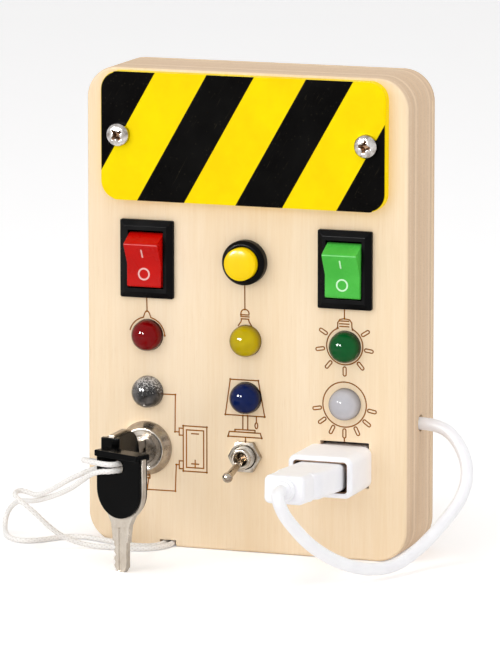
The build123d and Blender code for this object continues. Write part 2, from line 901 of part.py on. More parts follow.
def key_metal():
    """Bow, tapering neck and notched blade in one plate, with a groove along one side."""
    neck_top = -key_bow_length + key_neck_lap
    shoulder = -(key_bow_length + key_neck_length)
    waist = shoulder + key_shoulder_length
    tip = -key_length
    tip_side = tip + key_tip_length
    half_neck = key_neck_width / 2
    half_top = half_neck + key_neck_flare
    half_middle = half_neck + key_neck_flare * key_neck_waist
    middle = (waist + neck_top) / 2
    half_tip = key_tip_width / 2
    half_blade = key_blade_width / 2
    outline = [(-half_blade, shoulder)]
    for place, depth in key_notches:
        level = shoulder - place
        outline += [
            (-half_blade, level + key_notch_half), (-half_blade + depth, level),
            (-half_blade, level - key_notch_half),
        ]
    outline += [(-half_blade, tip_side), (-half_tip, tip), (half_tip, tip), (half_blade, tip_side)]
    outline += [
        (half_blade, shoulder), (half_neck, shoulder), (half_neck, waist), (half_middle, middle),
        (half_top, neck_top), (-half_top, neck_top), (-half_middle, middle), (-half_neck, waist),
        (-half_neck, shoulder),
    ]
    face = key_outline() + make_face(Polyline(*outline, close=True))
    plate = Pos(0, 0, -key_thickness / 2) * extrude(face, key_thickness)
    plate = fillet(plate.edges().filter_by(Axis.Z).group_by(Axis.Y)[0], key_tip_round)
    groove_length = key_blade_length + key_neck_length / 2
    groove_centre = tip + key_groove_margin + groove_length / 2
    groove = Pos(0, groove_centre, key_thickness / 2) * Box(
        key_groove_width, groove_length, 2 * key_groove_depth
    )
    return plate - groove - key_hole()


def key_cap():
    """The plastic grip: a pad on each side of the bow, joined by a bar across its end."""
    pad = key_outline(key_rim)
    reach = key_thickness / 2 + key_cap_pad
    pads = Pos(0, 0, -reach) * extrude(pad, 2 * reach)
    bar = Pos(0, key_flange_height / 2 - key_flange_lap, 0) * Box(
        key_bow_width - 2 * key_rim, key_flange_height, key_flange_thickness
    )
    bar = fillet(bar.edges().filter_by(Axis.X), key_flange_round)
    cap = pads + bar
    slot = Pos(0, 0, -key_thickness / 2) * extrude(key_outline(), key_thickness)
    return cap - slot - key_hole()


def key_hole():
    return Pos(0, key_hole_y, 0) * Cylinder(key_hole_diameter / 2, 2 * key_flange_thickness)


def key_in_lock_place():
    """Puts a key in the panel frame: blade inwards along -w, its width upright."""
    return Pos(lock_u, lock_v, key_end_w) * Rot(0, 0, 90) * Rot(90, 0, 0)


def spare_key_location():
    """Puts a key in the world frame, hanging by its hole with its blade down."""
    x, y = spare_key_place
    return Pos(x, y, spare_key_hole_z - key_hole_y) * Rot(0, 0, spare_key_turn) * Rot(90, 0, 0)


# ---------------------------------------------------------------------------------------------
# Socket and plug
# ---------------------------------------------------------------------------------------------
def socket_housing():
    """A rounded plastic shell in front of the panel with a narrower neck that passes through it."""
    shell = block(socket_width, socket_height, 0, socket_reach, socket_u, socket_v, socket_corner)
    shell = fillet(shell.faces().sort_by(Axis.Z)[-1].edges(), socket_edge)
    shell += block(
        socket_neck_width, socket_neck_height, -panel_thickness - socket_neck_reach, 0,
        panel_slot_u - socket_neck_offset, socket_v,
    )
    shell -= block(
        socket_opening_width, socket_opening_height, socket_reach - socket_pocket_depth, socket_reach,
        socket_u, socket_v, socket_opening_corner,
    )
    return shell - block(
        shell_width + 2 * running, shell_height + 2 * running, socket_shell_back,
        socket_reach, socket_u, socket_v,
    )


def socket_shell():
    """The drawn metal shell: a narrow tube for the plug, flaring to a sleeve that lines the mouth."""
    floor = socket_reach - socket_pocket_depth
    mouth_width = socket_opening_width - 2 * running
    mouth_height = socket_opening_height - 2 * running
    mouth_front = socket_reach - socket_sleeve_setback
    corner = socket_opening_corner
    shell = block(mouth_width, mouth_height, floor, mouth_front, socket_u, socket_v, corner)
    shell -= block(
        mouth_width - 2 * shell_thickness, mouth_height - 2 * shell_thickness, floor + shell_thickness,
        mouth_front, socket_u, socket_v, corner - shell_thickness,
    )
    shell += block(shell_width, shell_height, socket_shell_back, floor, socket_u, socket_v)
    return shell - block(
        shell_width - 2 * shell_thickness, shell_height - 2 * shell_thickness,
        socket_shell_back + shell_thickness, mouth_front, socket_u, socket_v,
    )


def socket_tongue():
    """The contact tongue in the upper half of the shell, on a block that fills the shell's end."""
    low = socket_shell_back + shell_thickness
    inner_width = shell_width - 2 * shell_thickness
    inner_height = shell_height - 2 * shell_thickness
    root = block(inner_width, inner_height, low, low + tongue_root, socket_u, socket_v)
    blade_v = socket_v + inner_height / 2 - tongue_gap - tongue_thickness / 2
    blade_low = low + tongue_root
    return root + block(
        inner_width - 2 * tongue_gap, tongue_thickness, blade_low, blade_low + tongue_length,
        socket_u, blade_v,
    )


def plug_section(width, height, w):
    """A rounded outline across the grip at distance w from its heel."""
    return (Pos(0, 0, w) * RectangleRounded(width, height, plug_corner)).face()


def grip_place():
    """Puts the grip's own frame at the heel inside the seat, leaning upwards a little."""
    return Pos(socket_u, socket_v, plug_heel) * Rot(-plug_lean, 0, 0)


def plug_housing():
    """The moulded grip: a straight seat in the socket, then a leaning front, waist and square rear."""
    seat = block(
        plug_front_width - 2 * plug_seat_step, plug_front_height - 2 * plug_seat_step, plug_face,
        plug_face + plug_seat, socket_u, socket_v, plug_corner,
    )
    rear_low = plug_grip_length - plug_rear_length
    grip = block(
        plug_front_width, plug_front_height, -plug_lean_lap, plug_grip_front, corner=plug_corner
    )
    grip += block(plug_rear_width, plug_rear_height, rear_low, plug_grip_length, corner=plug_rear_corner)
    front_side = plug_section(plug_front_width, plug_front_height, plug_grip_front)
    waist = plug_section(plug_waist_width, plug_waist_height, plug_grip_front + plug_waist_setback)
    rear_side = plug_section(plug_rear_width, plug_rear_height, rear_low)
    grip += loft([front_side, waist])
    grip += loft([waist, rear_side])
    grip = fillet(grip.faces().sort_by(Axis.Z)[-1].edges(), plug_edge)
    return seat + grip_place() * grip


def plug_shell():
    """The metal sleeve that goes into the socket, open at its end."""
    low = plug_face - plug_shell_length
    sleeve = block(plug_shell_width, plug_shell_height, low, plug_face, socket_u, socket_v)
    return sleeve - block(
        plug_shell_width - 2 * shell_thickness, plug_shell_height - 2 * shell_thickness,
        low, plug_face - plug_shell_floor, socket_u, socket_v,
    )


def plug_insert():
    """The plastic tongue with the plug's contacts, in the lower half of the sleeve."""
    inner_width = plug_shell_width - 2 * shell_thickness
    inner_height = plug_shell_height - 2 * shell_thickness
    low = plug_face - plug_shell_length + plug_insert_setback
    v = socket_v - inner_height / 2 + plug_insert_thickness / 2
    return block(inner_width, plug_insert_thickness, low, plug_face - plug_shell_floor, socket_u, v)


def plug_boss():
    """The stepped strain relief where the cable leaves the grip."""
    step = plug_grip_length + boss_step
    boss = rod(boss_diameter, plug_grip_length, step)
    return grip_place() * (boss + rod(boss_tip_diameter, step, plug_grip_length + boss_length))


# ---------------------------------------------------------------------------------------------
# Cable and string, in the world frame
# ---------------------------------------------------------------------------------------------
def behind_heel(distance):
    """A world point on the grip's axis at a distance behind its heel."""
    lean = radians(plug_lean)
    return (socket_u, front_y - plug_heel - distance * cos(lean), socket_v + distance * sin(lean))


cable_points = [
    behind_heel(plug_grip_length + boss_length),
    behind_heel(plug_grip_length + boss_length + cable_first_run),
    (28.1, -63.0, 22.6),
    (29.5, -59.6, 18.6),
    (32.5, -54.8, 12.9),
    (36.5, -47.6, 7.6),
    (41.7, -39.4, 3.8),
    (46.8, -29.0, 2.5),
    (50.4, -19.4, 5.4),
    (54.8, -11.6, 11.2),
    (59.1, -6.4, 18.2),
    (59.4, -3.2, 25.4),
    (55.9, -1.2, 31.9),
    (51.0, -0.2, 35.5),
    (42.6, 0.0, cable_hole_z + cable_rise),
    (34.2, 0.0, cable_hole_z),
]

# The string is one length: strand A, the loop through both keys, then strand B.
strand_a_points = [
    (-23.5, -4.60, 8.0),
    (-23.5, -4.65, 2.4),
    (-23.5, -7.4, 0.8),
    (-23.4, -12.6, 0.8),
    (-25.2, -16.4, 0.8),
    (-30.2, -17.2, 0.8),
    (-36.3, -14.5, 0.8),
    (-43.3, -11.3, 0.8),
    (-49.4, -10.6, 0.8),
    (-53.4, -14.4, 0.8),
    (-57.0, -19.8, 0.8),
    (-61.6, -21.4, 0.8),
    (-66.2, -17.4, 0.8),
    (-69.8, -11.0, 1.2),
    (-70.7, -7.4, 4.8),
    (-67.6, -9.6, 8.4),
    (-62.4, -15.6, 10.8),
    (-56.4, -23.4, 12.2),
    (-47.0, -32.4, 16.0),
    (-39.8, -38.6, 19.6),
    (-34.8, -43.0, 23.0),
]
loop_points = [
    (-34.8, -43.0, 23.0),
    (-31.2, -46.2, 25.5),
    (-27.6, -48.6, 27.0),
    (-24.4, -49.4, 27.3),
    (-22.4, -45.6, 27.25),
    (-21.2, -41.6, 27.0),
    (-22.4, -37.2, 26.7),
    (-25.0, -34.95, 26.6),
    (-31.4, -34.85, 26.6),
    (-35.0, -37.4, 27.4),
    (-34.8, -42.8, 28.6),
    (-31.4, -46.8, 29.1),
    (-26.8, -49.0, 29.1),
    (-23.9, -48.9, 29.0),
    (-22.6, -45.6, 28.95),
    (-22.2, -42.8, 28.6),
    (-25.2, -40.4, 27.8),
    (-30.4, -39.7, 26.4),
    (-34.0, -40.1, 25.2),
    (-36.4, -39.2, 24.0),
]
strand_b_points = [
    (-36.4, -39.2, 24.0),
    (-40.4, -37.7, 22.0),
    (-47.4, -33.2, 17.8),
    (-53.6, -27.6, 14.7),
    (-57.4, -25.8, 15.4),
    (-59.6, -26.6, 15.7),
    (-59.6, -29.2, 15.1),
    (-57.6, -30.2, 13.7),
    (-54.2, -29.6, 11.2),
    (-51.0, -27.6, 7.2),
    (-47.8, -24.8, 3.6),
    (-42.4, -21.4, 0.9),
    (-34.2, -21.2, 0.8),
    (-27.4, -20.6, 0.8),
    (-22.9, -18.0, 0.8),
    (-21.1, -12.6, 0.8),
    (-21.1, -7.4, 0.8),
    (-21.1, -4.65, 2.4),
    (-21.1, -4.60, 8.0),
]


def corner_radii(points, share=0.45):
    """The largest even arc at each corner of a route, from its shorter run and its turn."""
    places = [Vector(*point) for point in points]
    radii = []
    for before, here, after in zip(places, places[1:], places[2:]):
        arriving = here - before
        leaving = after - here
        half_turn = radians(arriving.get_angle(leaving)) / 2
        radii.append(share * min(arriving.length, leaving.length) / tan(half_turn))
    return radii


def cord_tube(name, points, diameter):
    """A round tube of straight runs joined by tangent arcs."""
    radii = corner_radii(points)
    path = FilletPolyline(*points, radius=radii)
    section = Plane(origin=path @ 0, z_dir=path % 0) * Circle(diameter / 2)
    tube = sweep(section, path=path, transition=Transition.ROUND)
    expected = pi * diameter**2 / 4 * path.length
    print(f"{name}: length {path.length:.1f} mm, volume {tube.volume:.1f} against {expected:.1f} mm3")
    print("  radii", " ".join(f"{radius:.1f}" for radius in radii))
    return tube


def cable_stop():
    """A moulded collar on the cable inside the wall, so a pull can't draw the cable out."""
    low = cavity_width / 2 - cable_stop_length
    ring = Pos(low + cable_stop_length / 2, 0, cable_hole_z) * Rot(0, 90, 0) * Cylinder(
        cable_stop_diameter / 2, cable_stop_length
    )
    bore = Pos(low, 0, cable_hole_z) * Rot(0, 90, 0) * Cylinder(
        cable_diameter / 2 + running, 3 * cable_stop_length
    )
    return ring - bore


def string_knot():
    """The knot that ties both ends of the string above its bore."""
    x = (strand_a_points[0][0] + strand_b_points[-1][0]) / 2
    y = strand_a_points[0][1]
    z = strand_a_points[0][2]
    radius = string_knot_diameter / 2
    ball = Pos(x, y, z + radius - string_knot_flat) * Sphere(radius)
    below = Pos(x, y, z - string_knot_diameter) * Box(*3 * (2 * string_knot_diameter,))
    return ball - below


# ---------------------------------------------------------------------------------------------
# Every node, and whether it is modelled in the panel frame
# ---------------------------------------------------------------------------------------------
def gather(pieces):
    return Compound(children=list(pieces)) if isinstance(pieces, list) else pieces


panel_nodes = {
    "front_panel": front_panel,
    "body_frame": body_frame,
    "back_panel": back_panel,
    "back_screws": back_screws,
    "hazard_plate": hazard_plate,
    "plate_screws": plate_screws,
    "battery_tray": battery_tray,
    "batteries": batteries,
    "battery_contacts": battery_contacts,
    "button_collar": button_collar,
    "button_nut": button_nut,
    "button_cap": button_cap,
    "button_spring": button_spring,
    "button_terminals": button_terminals,
    "lamp_legs": lamp_legs,
    "circuit_board": circuit_board,
    "circuit_posts": circuit_posts,
    "circuit_screws": circuit_screws,
    "resistors": resistors,
    "toggle_bushing": toggle_bushing,
    "toggle_nut": toggle_nut,
    "toggle_body": toggle_body,
    "toggle_lever": toggle_lever,
    "toggle_terminals": toggle_terminals,
    "lock_housing": lock_housing,
    "lock_nut": lock_nut,
    "lock_rotor": lock_rotor,
    "lock_base": lock_base,
    "lock_terminals": lock_terminals,
    "socket_housing": socket_housing,
    "socket_shell": socket_shell,
    "socket_tongue": socket_tongue,
    "plug_housing": plug_housing,
    "plug_shell": plug_shell,
    "plug_insert": plug_insert,
    "plug_boss": plug_boss,
}
nodes = {name: panel_place * gather(build()) for name, build in panel_nodes.items()}
for colour, u in rocker_places.items():
    nodes[f"{colour}_rocker_housing"] = panel_place * rocker_housing(u)
    nodes[f"{colour}_rocker"] = panel_place * rocker(u)
    nodes[f"{colour}_rocker_terminals"] = panel_place * gather(rocker_terminals(u))
for colour, (u, v) in lamp_places.items():
    nodes[f"{colour}_lamp"] = panel_place * lamp(u, v)
nodes["key_metal"] = panel_place * key_in_lock_place() * key_metal()
nodes["key_cap"] = panel_place * key_in_lock_place() * key_cap()
nodes["spare_key_metal"] = spare_key_location() * key_metal()
nodes["spare_key_cap"] = spare_key_location() * key_cap()
nodes["usb_cable"] = cord_tube("usb_cable", cable_points, cable_diameter)
nodes["cable_stop"] = cable_stop()
nodes["string_strand_a"] = cord_tube("string_strand_a", strand_a_points, string_diameter)
nodes["string_loop"] = cord_tube("string_loop", loop_points, string_diameter)
nodes["string_strand_b"] = cord_tube("string_strand_b", strand_b_points, string_diameter)
nodes["string_knot"] = string_knot()

os.makedirs("parts", exist_ok=True)
for name, shape in nodes.items():
    export_step(shape, f"parts/{name}.step")
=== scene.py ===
import math

import bmesh
import bpy
from mathutils import Matrix, Vector


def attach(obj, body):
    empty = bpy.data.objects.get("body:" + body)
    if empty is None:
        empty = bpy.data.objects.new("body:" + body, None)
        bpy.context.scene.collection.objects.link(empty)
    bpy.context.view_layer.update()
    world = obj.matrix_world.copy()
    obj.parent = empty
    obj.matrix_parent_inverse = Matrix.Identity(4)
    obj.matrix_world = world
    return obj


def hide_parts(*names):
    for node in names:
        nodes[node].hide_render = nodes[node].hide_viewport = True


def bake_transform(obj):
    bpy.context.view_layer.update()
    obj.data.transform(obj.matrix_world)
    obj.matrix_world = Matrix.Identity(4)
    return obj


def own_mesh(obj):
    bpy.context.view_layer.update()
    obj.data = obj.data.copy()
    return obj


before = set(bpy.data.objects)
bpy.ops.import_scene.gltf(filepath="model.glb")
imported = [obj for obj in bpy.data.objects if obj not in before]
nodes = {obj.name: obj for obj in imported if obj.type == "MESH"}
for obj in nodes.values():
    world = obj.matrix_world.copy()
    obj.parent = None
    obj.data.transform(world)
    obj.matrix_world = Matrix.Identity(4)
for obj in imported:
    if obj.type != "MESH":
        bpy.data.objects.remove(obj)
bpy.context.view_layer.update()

mm = 0.001

# ---------------------------------------------------------------------------------------------
# The camera and the cords: places in metres, angles in radians, the lens in millimetres
# ---------------------------------------------------------------------------------------------
camera_place = (0.50602, -1.43339, 0.31905)
camera_tilt = math.radians(80.222)
camera_turn = math.radians(19.552)
camera_lens = 310.65

cable_diameter = 3.4 * mm
string_diameter = 1.5 * mm

# The routes of the cords, as the part's source has them, in millimetres
cable_route = [
    (26.2, -58.24, 27.17), (26.2, -62.63, 27.44), (28.1, -63.0, 22.6), (29.5, -59.6, 18.6),
    (32.5, -54.8, 12.9), (36.5, -47.6, 7.6), (41.7, -39.4, 3.8), (46.8, -29.0, 2.5),
    (50.4, -19.4, 5.4), (54.8, -11.6, 11.2), (59.1, -6.4, 18.2), (59.4, -3.2, 25.4),
    (55.9, -1.2, 31.9), (51.0, -0.2, 35.5), (42.6, 0.0, 35.95), (34.2, 0.0, 35.9),
]
strand_a_route = [
    (-23.5, -4.60, 8.0), (-23.5, -4.65, 2.4), (-23.5, -7.4, 0.8), (-23.4, -12.6, 0.8), (-25.2, -16.4, 0.8),
    (-30.2, -17.2, 0.8), (-36.3, -14.5, 0.8), (-43.3, -11.3, 0.8), (-49.4, -10.6, 0.8), (-53.4, -14.4, 0.8),
    (-57.0, -19.8, 0.8), (-61.6, -21.4, 0.8), (-66.2, -17.4, 0.8), (-69.8, -11.0, 1.2), (-70.7, -7.4, 4.8),
    (-67.6, -9.6, 8.4), (-62.4, -15.6, 10.8), (-56.4, -23.4, 12.2), (-47.0, -32.4, 16.0),
    (-39.8, -38.6, 19.6), (-34.8, -43.0, 23.0),
]
loop_route = [
    (-31.2, -46.2, 25.5), (-27.6, -48.6, 27.0), (-24.4, -49.4, 27.3), (-22.4, -45.6, 27.25),
    (-21.2, -41.6, 27.0), (-22.4, -37.2, 26.7), (-25.0, -34.95, 26.6), (-31.4, -34.85, 26.6),
    (-35.0, -37.4, 27.4), (-34.8, -42.8, 28.6), (-31.4, -46.8, 29.1), (-26.8, -49.0, 29.1),
    (-23.9, -48.9, 29.0), (-22.6, -45.6, 28.95), (-22.2, -42.8, 28.6), (-25.2, -40.4, 27.8),
    (-30.4, -39.7, 26.4), (-34.0, -40.1, 25.2), (-36.4, -39.2, 24.0),
]
strand_b_route = [
    (-40.4, -37.7, 22.0), (-47.4, -33.2, 17.8), (-53.6, -27.6, 14.7), (-57.4, -25.8, 15.4),
    (-59.6, -26.6, 15.7), (-59.6, -29.2, 15.1), (-57.6, -30.2, 13.7), (-54.2, -29.6, 11.2),
    (-51.0, -27.6, 7.2), (-47.8, -24.8, 3.6), (-42.4, -21.4, 0.9), (-34.2, -21.2, 0.8), (-27.4, -20.6, 0.8),
    (-22.9, -18.0, 0.8), (-21.1, -12.6, 0.8), (-21.1, -7.4, 0.8), (-21.1, -4.65, 2.4), (-21.1, -4.60, 8.0),
]
string_route = strand_a_route + loop_route + strand_b_route


# ---------------------------------------------------------------------------------------------
# Building nodes
# ---------------------------------------------------------------------------------------------
def add(tree, kind, inputs=None, **settings):
    """A node with its settings, each input given as a value or as the socket that feeds it."""
    node = tree.nodes.new(kind)
    for name, value in settings.items():
        setattr(node, name, value)
    for name, value in (inputs or {}).items():
        socket = node.inputs[name]
        if isinstance(value, bpy.types.NodeSocket):
            tree.links.new(value, socket)
        else:
            socket.default_value = value
    return node


def maths(tree, operation, first, second=0.0):
    return add(tree, "ShaderNodeMath", {0: first, 1: second}, operation=operation).outputs[0]


def ramp(tree, factor, stops, ease="LINEAR"):
    """A colour ramp from (place, colour) stops, colours being linear RGB."""
    node = add(tree, "ShaderNodeValToRGB", {0: factor})
    node.color_ramp.interpolation = ease
    steps = node.color_ramp.elements
    for i, (place, colour) in enumerate(stops):
        step = steps[i] if i < 2 else steps.new(place)
        step.position = place
        step.color = (*colour, 1.0)
    return node.outputs[0]


def mix_colour(tree, factor, first, second):
    """A blend of two colours, each given as a value or as the socket that feeds it."""
    node = add(tree, "ShaderNodeMix", data_type="RGBA")
    for socket, value in ((node.inputs[0], factor), (node.inputs[6], first), (node.inputs[7], second)):
        if isinstance(value, bpy.types.NodeSocket):
            tree.links.new(value, socket)
        else:
            socket.default_value = (*value, 1.0) if isinstance(value, tuple) else value
    return node.outputs[2]


def grey(level):
    return (level, level, level)


def shader_group(name, inputs, outputs):
    """An empty shader group with named sockets: inputs as (name, kind, value), outputs as (name, kind)."""
    group = bpy.data.node_groups.new(name, "ShaderNodeTree")
    for label, kind, value in inputs:
        socket = group.interface.new_socket(name=label, in_out="INPUT", socket_type="NodeSocket" + kind)
        socket.default_value = (*value, 1.0) if kind == "Color" else value
    for label, kind in outputs:
        group.interface.new_socket(name=label, in_out="OUTPUT", socket_type="NodeSocket" + kind)
    return group, group.nodes.new("NodeGroupInput").outputs, group.nodes.new("NodeGroupOutput").inputs


def paint(red, green, blue):
    """The linear colour of a paint given by its 0 to 255 levels as it looks."""
    shares = (level / 255 for level in (red, green, blue))
    return tuple(share / 12.92 if share <= 0.04045 else ((share + 0.055) / 1.055) ** 2.4 for share in shares)


def object_place(tree):
    """The place on the object, in metres."""
    return add(tree, "ShaderNodeTexCoord").outputs["Object"]


def coordinate(tree, place, number):
    """One coordinate of a place: 0 to the right, 1 to the back, 2 upwards."""
    return add(tree, "ShaderNodeSeparateXYZ", {0: place}).outputs[number]


def facing_back(tree):
    """How far the surface faces backwards: -1 on the front, 0 on the block's edge, 1 on the back."""
    return coordinate(tree, add(tree, "ShaderNodeTexCoord").outputs["Normal"], 1)


def scaled(tree, scale, mapping=None):
    """Object coordinates stretched by a scale for each axis, or by a socket that holds one."""
    place = mapping or object_place(tree)
    return add(tree, "ShaderNodeVectorMath", {0: place, 1: scale}, operation="MULTIPLY").outputs[0]


def noise(tree, place, scale=1.0, detail=2.0, roughness=0.5, distortion=0.0):
    settings = {"Vector": place, "Scale": scale, "Detail": detail, "Roughness": roughness}
    return add(tree, "ShaderNodeTexNoise", {**settings, "Distortion": distortion}).outputs[0]


def spread(tree, value, low, high, start=0.0, end=1.0):
    """A value from low to high mapped to start to end, and held at both."""
    node = add(tree, "ShaderNodeMapRange", {0: value, 1: low, 2: high, 3: start, 4: end})
    return node.outputs[0]


def between(tree, share, start, end):
    """A share from 0 to 1 mapped to start to end."""
    return spread(tree, share, 0.0, 1.0, start, end)


def seen_rays(tree):
    """1 for rays from the camera, off a glossy surface or through a clear one, and 0 for the rest."""
    rays = add(tree, "ShaderNodeLightPath").outputs
    seen = maths(tree, "MAXIMUM", rays["Is Camera Ray"], rays["Is Transmission Ray"])
    return maths(tree, "MAXIMUM", seen, rays["Is Glossy Ray"])


# ---------------------------------------------------------------------------------------------
# Effects shared by the finishes
# ---------------------------------------------------------------------------------------------
def wood_grain_group():
    """Upright fibres, soft bands and short dark pores of a rotary-cut face veneer."""
    group, given, result = shader_group(
        "wood_grain",
        [("Fibres", "Float", 1500.0), ("Bands", "Float", 70.0), ("Stretch", "Vector", (1.0, 1.0, 0.035))],
        [("Tone", "Float"), ("Pores", "Float"), ("Height", "Float")],
    )
    upright = scaled(group, given["Stretch"])
    fibres = noise(group, upright, given["Fibres"], 4.0, 0.6)
    bands = noise(group, upright, given["Bands"], 3.0, 0.5, 0.6)
    fine = noise(group, upright, 5200.0, 2.0)
    tone = maths(group, "ADD", maths(group, "MULTIPLY", fibres, 0.45), maths(group, "MULTIPLY", bands, 0.55))
    group.links.new(spread(group, tone, 0.36, 0.64), result["Tone"])
    group.links.new(spread(group, fine, 0.62, 0.8), result["Pores"])
    group.links.new(fibres, result["Height"])
    return group


def ply_layers_group():
    """The veneers seen on the block's edge: their tone, the glue lines and their end grain."""
    group, given, result = shader_group(
        "ply_layers",
        [("Veneer", "Float", 0.00144), ("Front", "Float", -0.0115)],
        [("Tone", "Float"), ("Cross", "Float"), ("Glue", "Float"), ("Speckle", "Float")],
    )
    place = object_place(group)
    depth = coordinate(group, place, 1)
    wander = maths(group, "MULTIPLY", noise(group, place, 90.0, 3.0), 0.22)
    level = maths(group, "DIVIDE", maths(group, "SUBTRACT", depth, given["Front"]), given["Veneer"])
    level = maths(group, "ADD", level, wander)
    layer = maths(group, "FLOOR", level)
    across = maths(group, "FRACT", level)
    cross = maths(group, "MODULO", layer, 2.0)
    shade = add(group, "ShaderNodeTexWhiteNoise", {"W": layer}, noise_dimensions="1D").outputs[0]
    edge = maths(group, "ABSOLUTE", maths(group, "SUBTRACT", across, 0.5))
    glue = spread(group, edge, 0.42, 0.49)
    grain = noise(group, scaled(group, (2600.0, 900.0, 2600.0)), 1.0, 3.0, 0.65)
    streaks = noise(group, scaled(group, (240.0, 5200.0, 240.0)), 1.0, 3.0, 0.6)
    mixed = mix_colour(group, cross, streaks, grain)
    group.links.new(shade, result["Tone"])
    group.links.new(cross, result["Cross"])
    group.links.new(glue, result["Glue"])
    group.links.new(mixed, result["Speckle"])
    return group


def moulded_group():
    """The faint pebble of moulded plastic, with soft smudges on it."""
    group, given, result = shader_group(
        "moulded",
        [("Grain", "Float", 4200.0), ("Smudge", "Float", 160.0)],
        [("Tone", "Float"), ("Gloss", "Float"), ("Height", "Float")],
    )
    place = object_place(group)
    grain = noise(group, place, given["Grain"], 2.0)
    smudge = noise(group, place, given["Smudge"], 4.0, 0.6)
    group.links.new(spread(group, smudge, 0.32, 0.68), result["Tone"])
    group.links.new(spread(group, smudge, 0.3, 0.75), result["Gloss"])
    group.links.new(grain, result["Height"])
    return group


def worked_metal_group():
    """Clouds of tarnish and of painted reflection, and fine tool marks on bare or plated metal."""
    group, given, result = shader_group(
        "worked_metal",
        [("Marks", "Vector", (900.0, 9000.0, 900.0)), ("Clouds", "Float", 220.0)],
        [("Tone", "Float"), ("Gloss", "Float"), ("Height", "Float")],
    )
    marks = noise(group, scaled(group, given["Marks"]), 1.0, 3.0, 0.6)
    place = object_place(group)
    clouds = noise(group, place, given["Clouds"], 4.0, 0.6, 0.4)
    group.links.new(spread(group, clouds, 0.3, 0.7), result["Tone"])
    both = maths(group, "ADD", maths(group, "MULTIPLY", marks, 0.5), maths(group, "MULTIPLY", clouds, 0.5))
    group.links.new(spread(group, both, 0.35, 0.65), result["Gloss"])
    group.links.new(marks, result["Height"])
    return group


def scuffs_group():
    """Dust specks and hair scratches that catch the light on a printed face."""
    group, given, result = shader_group(
        "scuffs",
        [("Specks", "Float", 1300.0), ("Hairs", "Vector", (2600.0, 2600.0, 150.0))],
        [("Specks", "Float"), ("Hairs", "Float")],
    )
    place = object_place(group)
    dots = add(group, "ShaderNodeTexVoronoi", {"Vector": place, "Scale": given["Specks"]})
    chance = add(group, "ShaderNodeSeparateColor", {0: dots.outputs["Color"]}).outputs[0]
    spots = maths(group, "MULTIPLY", spread(group, dots.outputs["Distance"], 0.2, 0.34, 1.0, 0.0),
                  maths(group, "GREATER_THAN", chance, 0.84))
    turn = add(group, "ShaderNodeMapping", {"Vector": place, "Rotation": (0.0, math.radians(-30.0), 0.0)})
    hairs = noise(group, scaled(group, given["Hairs"], turn.outputs[0]), 1.0, 3.0, 0.7)
    group.links.new(spots, result["Specks"])
    group.links.new(spread(group, hairs, 0.64, 0.74), result["Hairs"])
    return group


wood_grain = wood_grain_group()
ply_layers = ply_layers_group()
moulded = moulded_group()
worked_metal = worked_metal_group()
scuffs = scuffs_group()


# ---------------------------------------------------------------------------------------------
# Finishes
# ---------------------------------------------------------------------------------------------
metal_relief = 0.006
lens_roughness = (0.03, 0.06)
epoxy_ior = 1.52


def blank(name, **plain):
    """A material, its tree and its shader, with the values that are the same all over it."""
    material = bpy.data.materials.new(name)
    material.use_nodes = True
    shader = material.node_tree.nodes["Principled BSDF"]
    for label, value in plain.items():
        shader.inputs[label.replace("_", " ")].default_value = value
    return material, material.node_tree, shader


def placed(tree, group, **values):
    """A shared effect in a material, with its own values."""
    return add(tree, "ShaderNodeGroup", values, node_tree=group).outputs


def dressed(tree, shader, colour, roughness, height, relief):
    """Gives a shader its colour, its roughness and its relief, in millimetres for a height of 0 to 1."""
    bump = add(tree, "ShaderNodeBump", {"Height": height, "Distance": relief * mm, "Strength": 1.0})
    for label, value in (("Base Color", colour), ("Roughness", roughness), ("Normal", bump.outputs[0])):
        tree.links.new(value, shader.inputs[label])


def plastic(name, colour, shade, roughness=(0.28, 0.4), relief=0.012, grain=4200.0, **plain):
    material, tree, shader = blank(name, **plain)
    skin = placed(tree, moulded, Grain=grain)
    dressed(tree, shader, mix_colour(tree, skin["Tone"], colour, shade),
            between(tree, skin["Gloss"], *roughness), skin["Height"], relief)
    return material


# The second colour, laid in clouds, is tarnish, and on the bright steels a painted reflection
def metal(name, colour, tarnish_and_reflection, roughness=(0.18, 0.34), clouds=220.0):
    material, tree, shader = blank(name, Metallic=1.0)
    skin = placed(tree, worked_metal, Clouds=clouds)
    dressed(tree, shader, mix_colour(tree, skin["Tone"], colour, tarnish_and_reflection),
            between(tree, skin["Gloss"], *roughness), skin["Height"], metal_relief)
    return material


def birch(name="birch_face"):
    """Pale birch veneer on the faces, and its layers wherever the surface turns to the block's edge."""
    material, tree, shader = blank(name, Specular_IOR_Level=0.08)
    grain = placed(tree, wood_grain)
    face = mix_colour(tree, grain["Tone"], paint(253, 231, 200), paint(247, 221, 184))
    face = mix_colour(tree, maths(tree, "MULTIPLY", grain["Pores"], 0.35), face, paint(222, 184, 138))
    ply = placed(tree, ply_layers)
    along = mix_colour(tree, ply["Tone"], paint(235, 209, 180), paint(223, 194, 162))
    ends = mix_colour(tree, ply["Tone"], paint(230, 204, 176), paint(218, 190, 160))
    edge = mix_colour(tree, ply["Cross"], along, ends)
    edge = mix_colour(tree, spread(tree, ply["Speckle"], 0.42, 0.72, 0.0, 0.26), edge, paint(178, 142, 108))
    edge = mix_colour(tree, maths(tree, "MULTIPLY", ply["Glue"], 0.13), edge, paint(150, 112, 80))
    flat = spread(tree, maths(tree, "ABSOLUTE", facing_back(tree)), 0.35, 0.8)
    dressed(tree, shader, mix_colour(tree, flat, edge, face),
            between(tree, grain["Tone"], 0.55, 0.68), grain["Height"], 0.02)
    return material


def burnt_wood():
    """The scorched walls of an engraved line."""
    material, tree, shader = blank("burnt_wood", Specular_IOR_Level=0.1)
    grain = placed(tree, wood_grain)
    colour = mix_colour(tree, grain["Tone"], paint(190, 118, 18), paint(142, 82, 6))
    dressed(tree, shader, colour, between(tree, grain["Tone"], 0.8, 0.95), grain["Height"], 0.03)
    return material


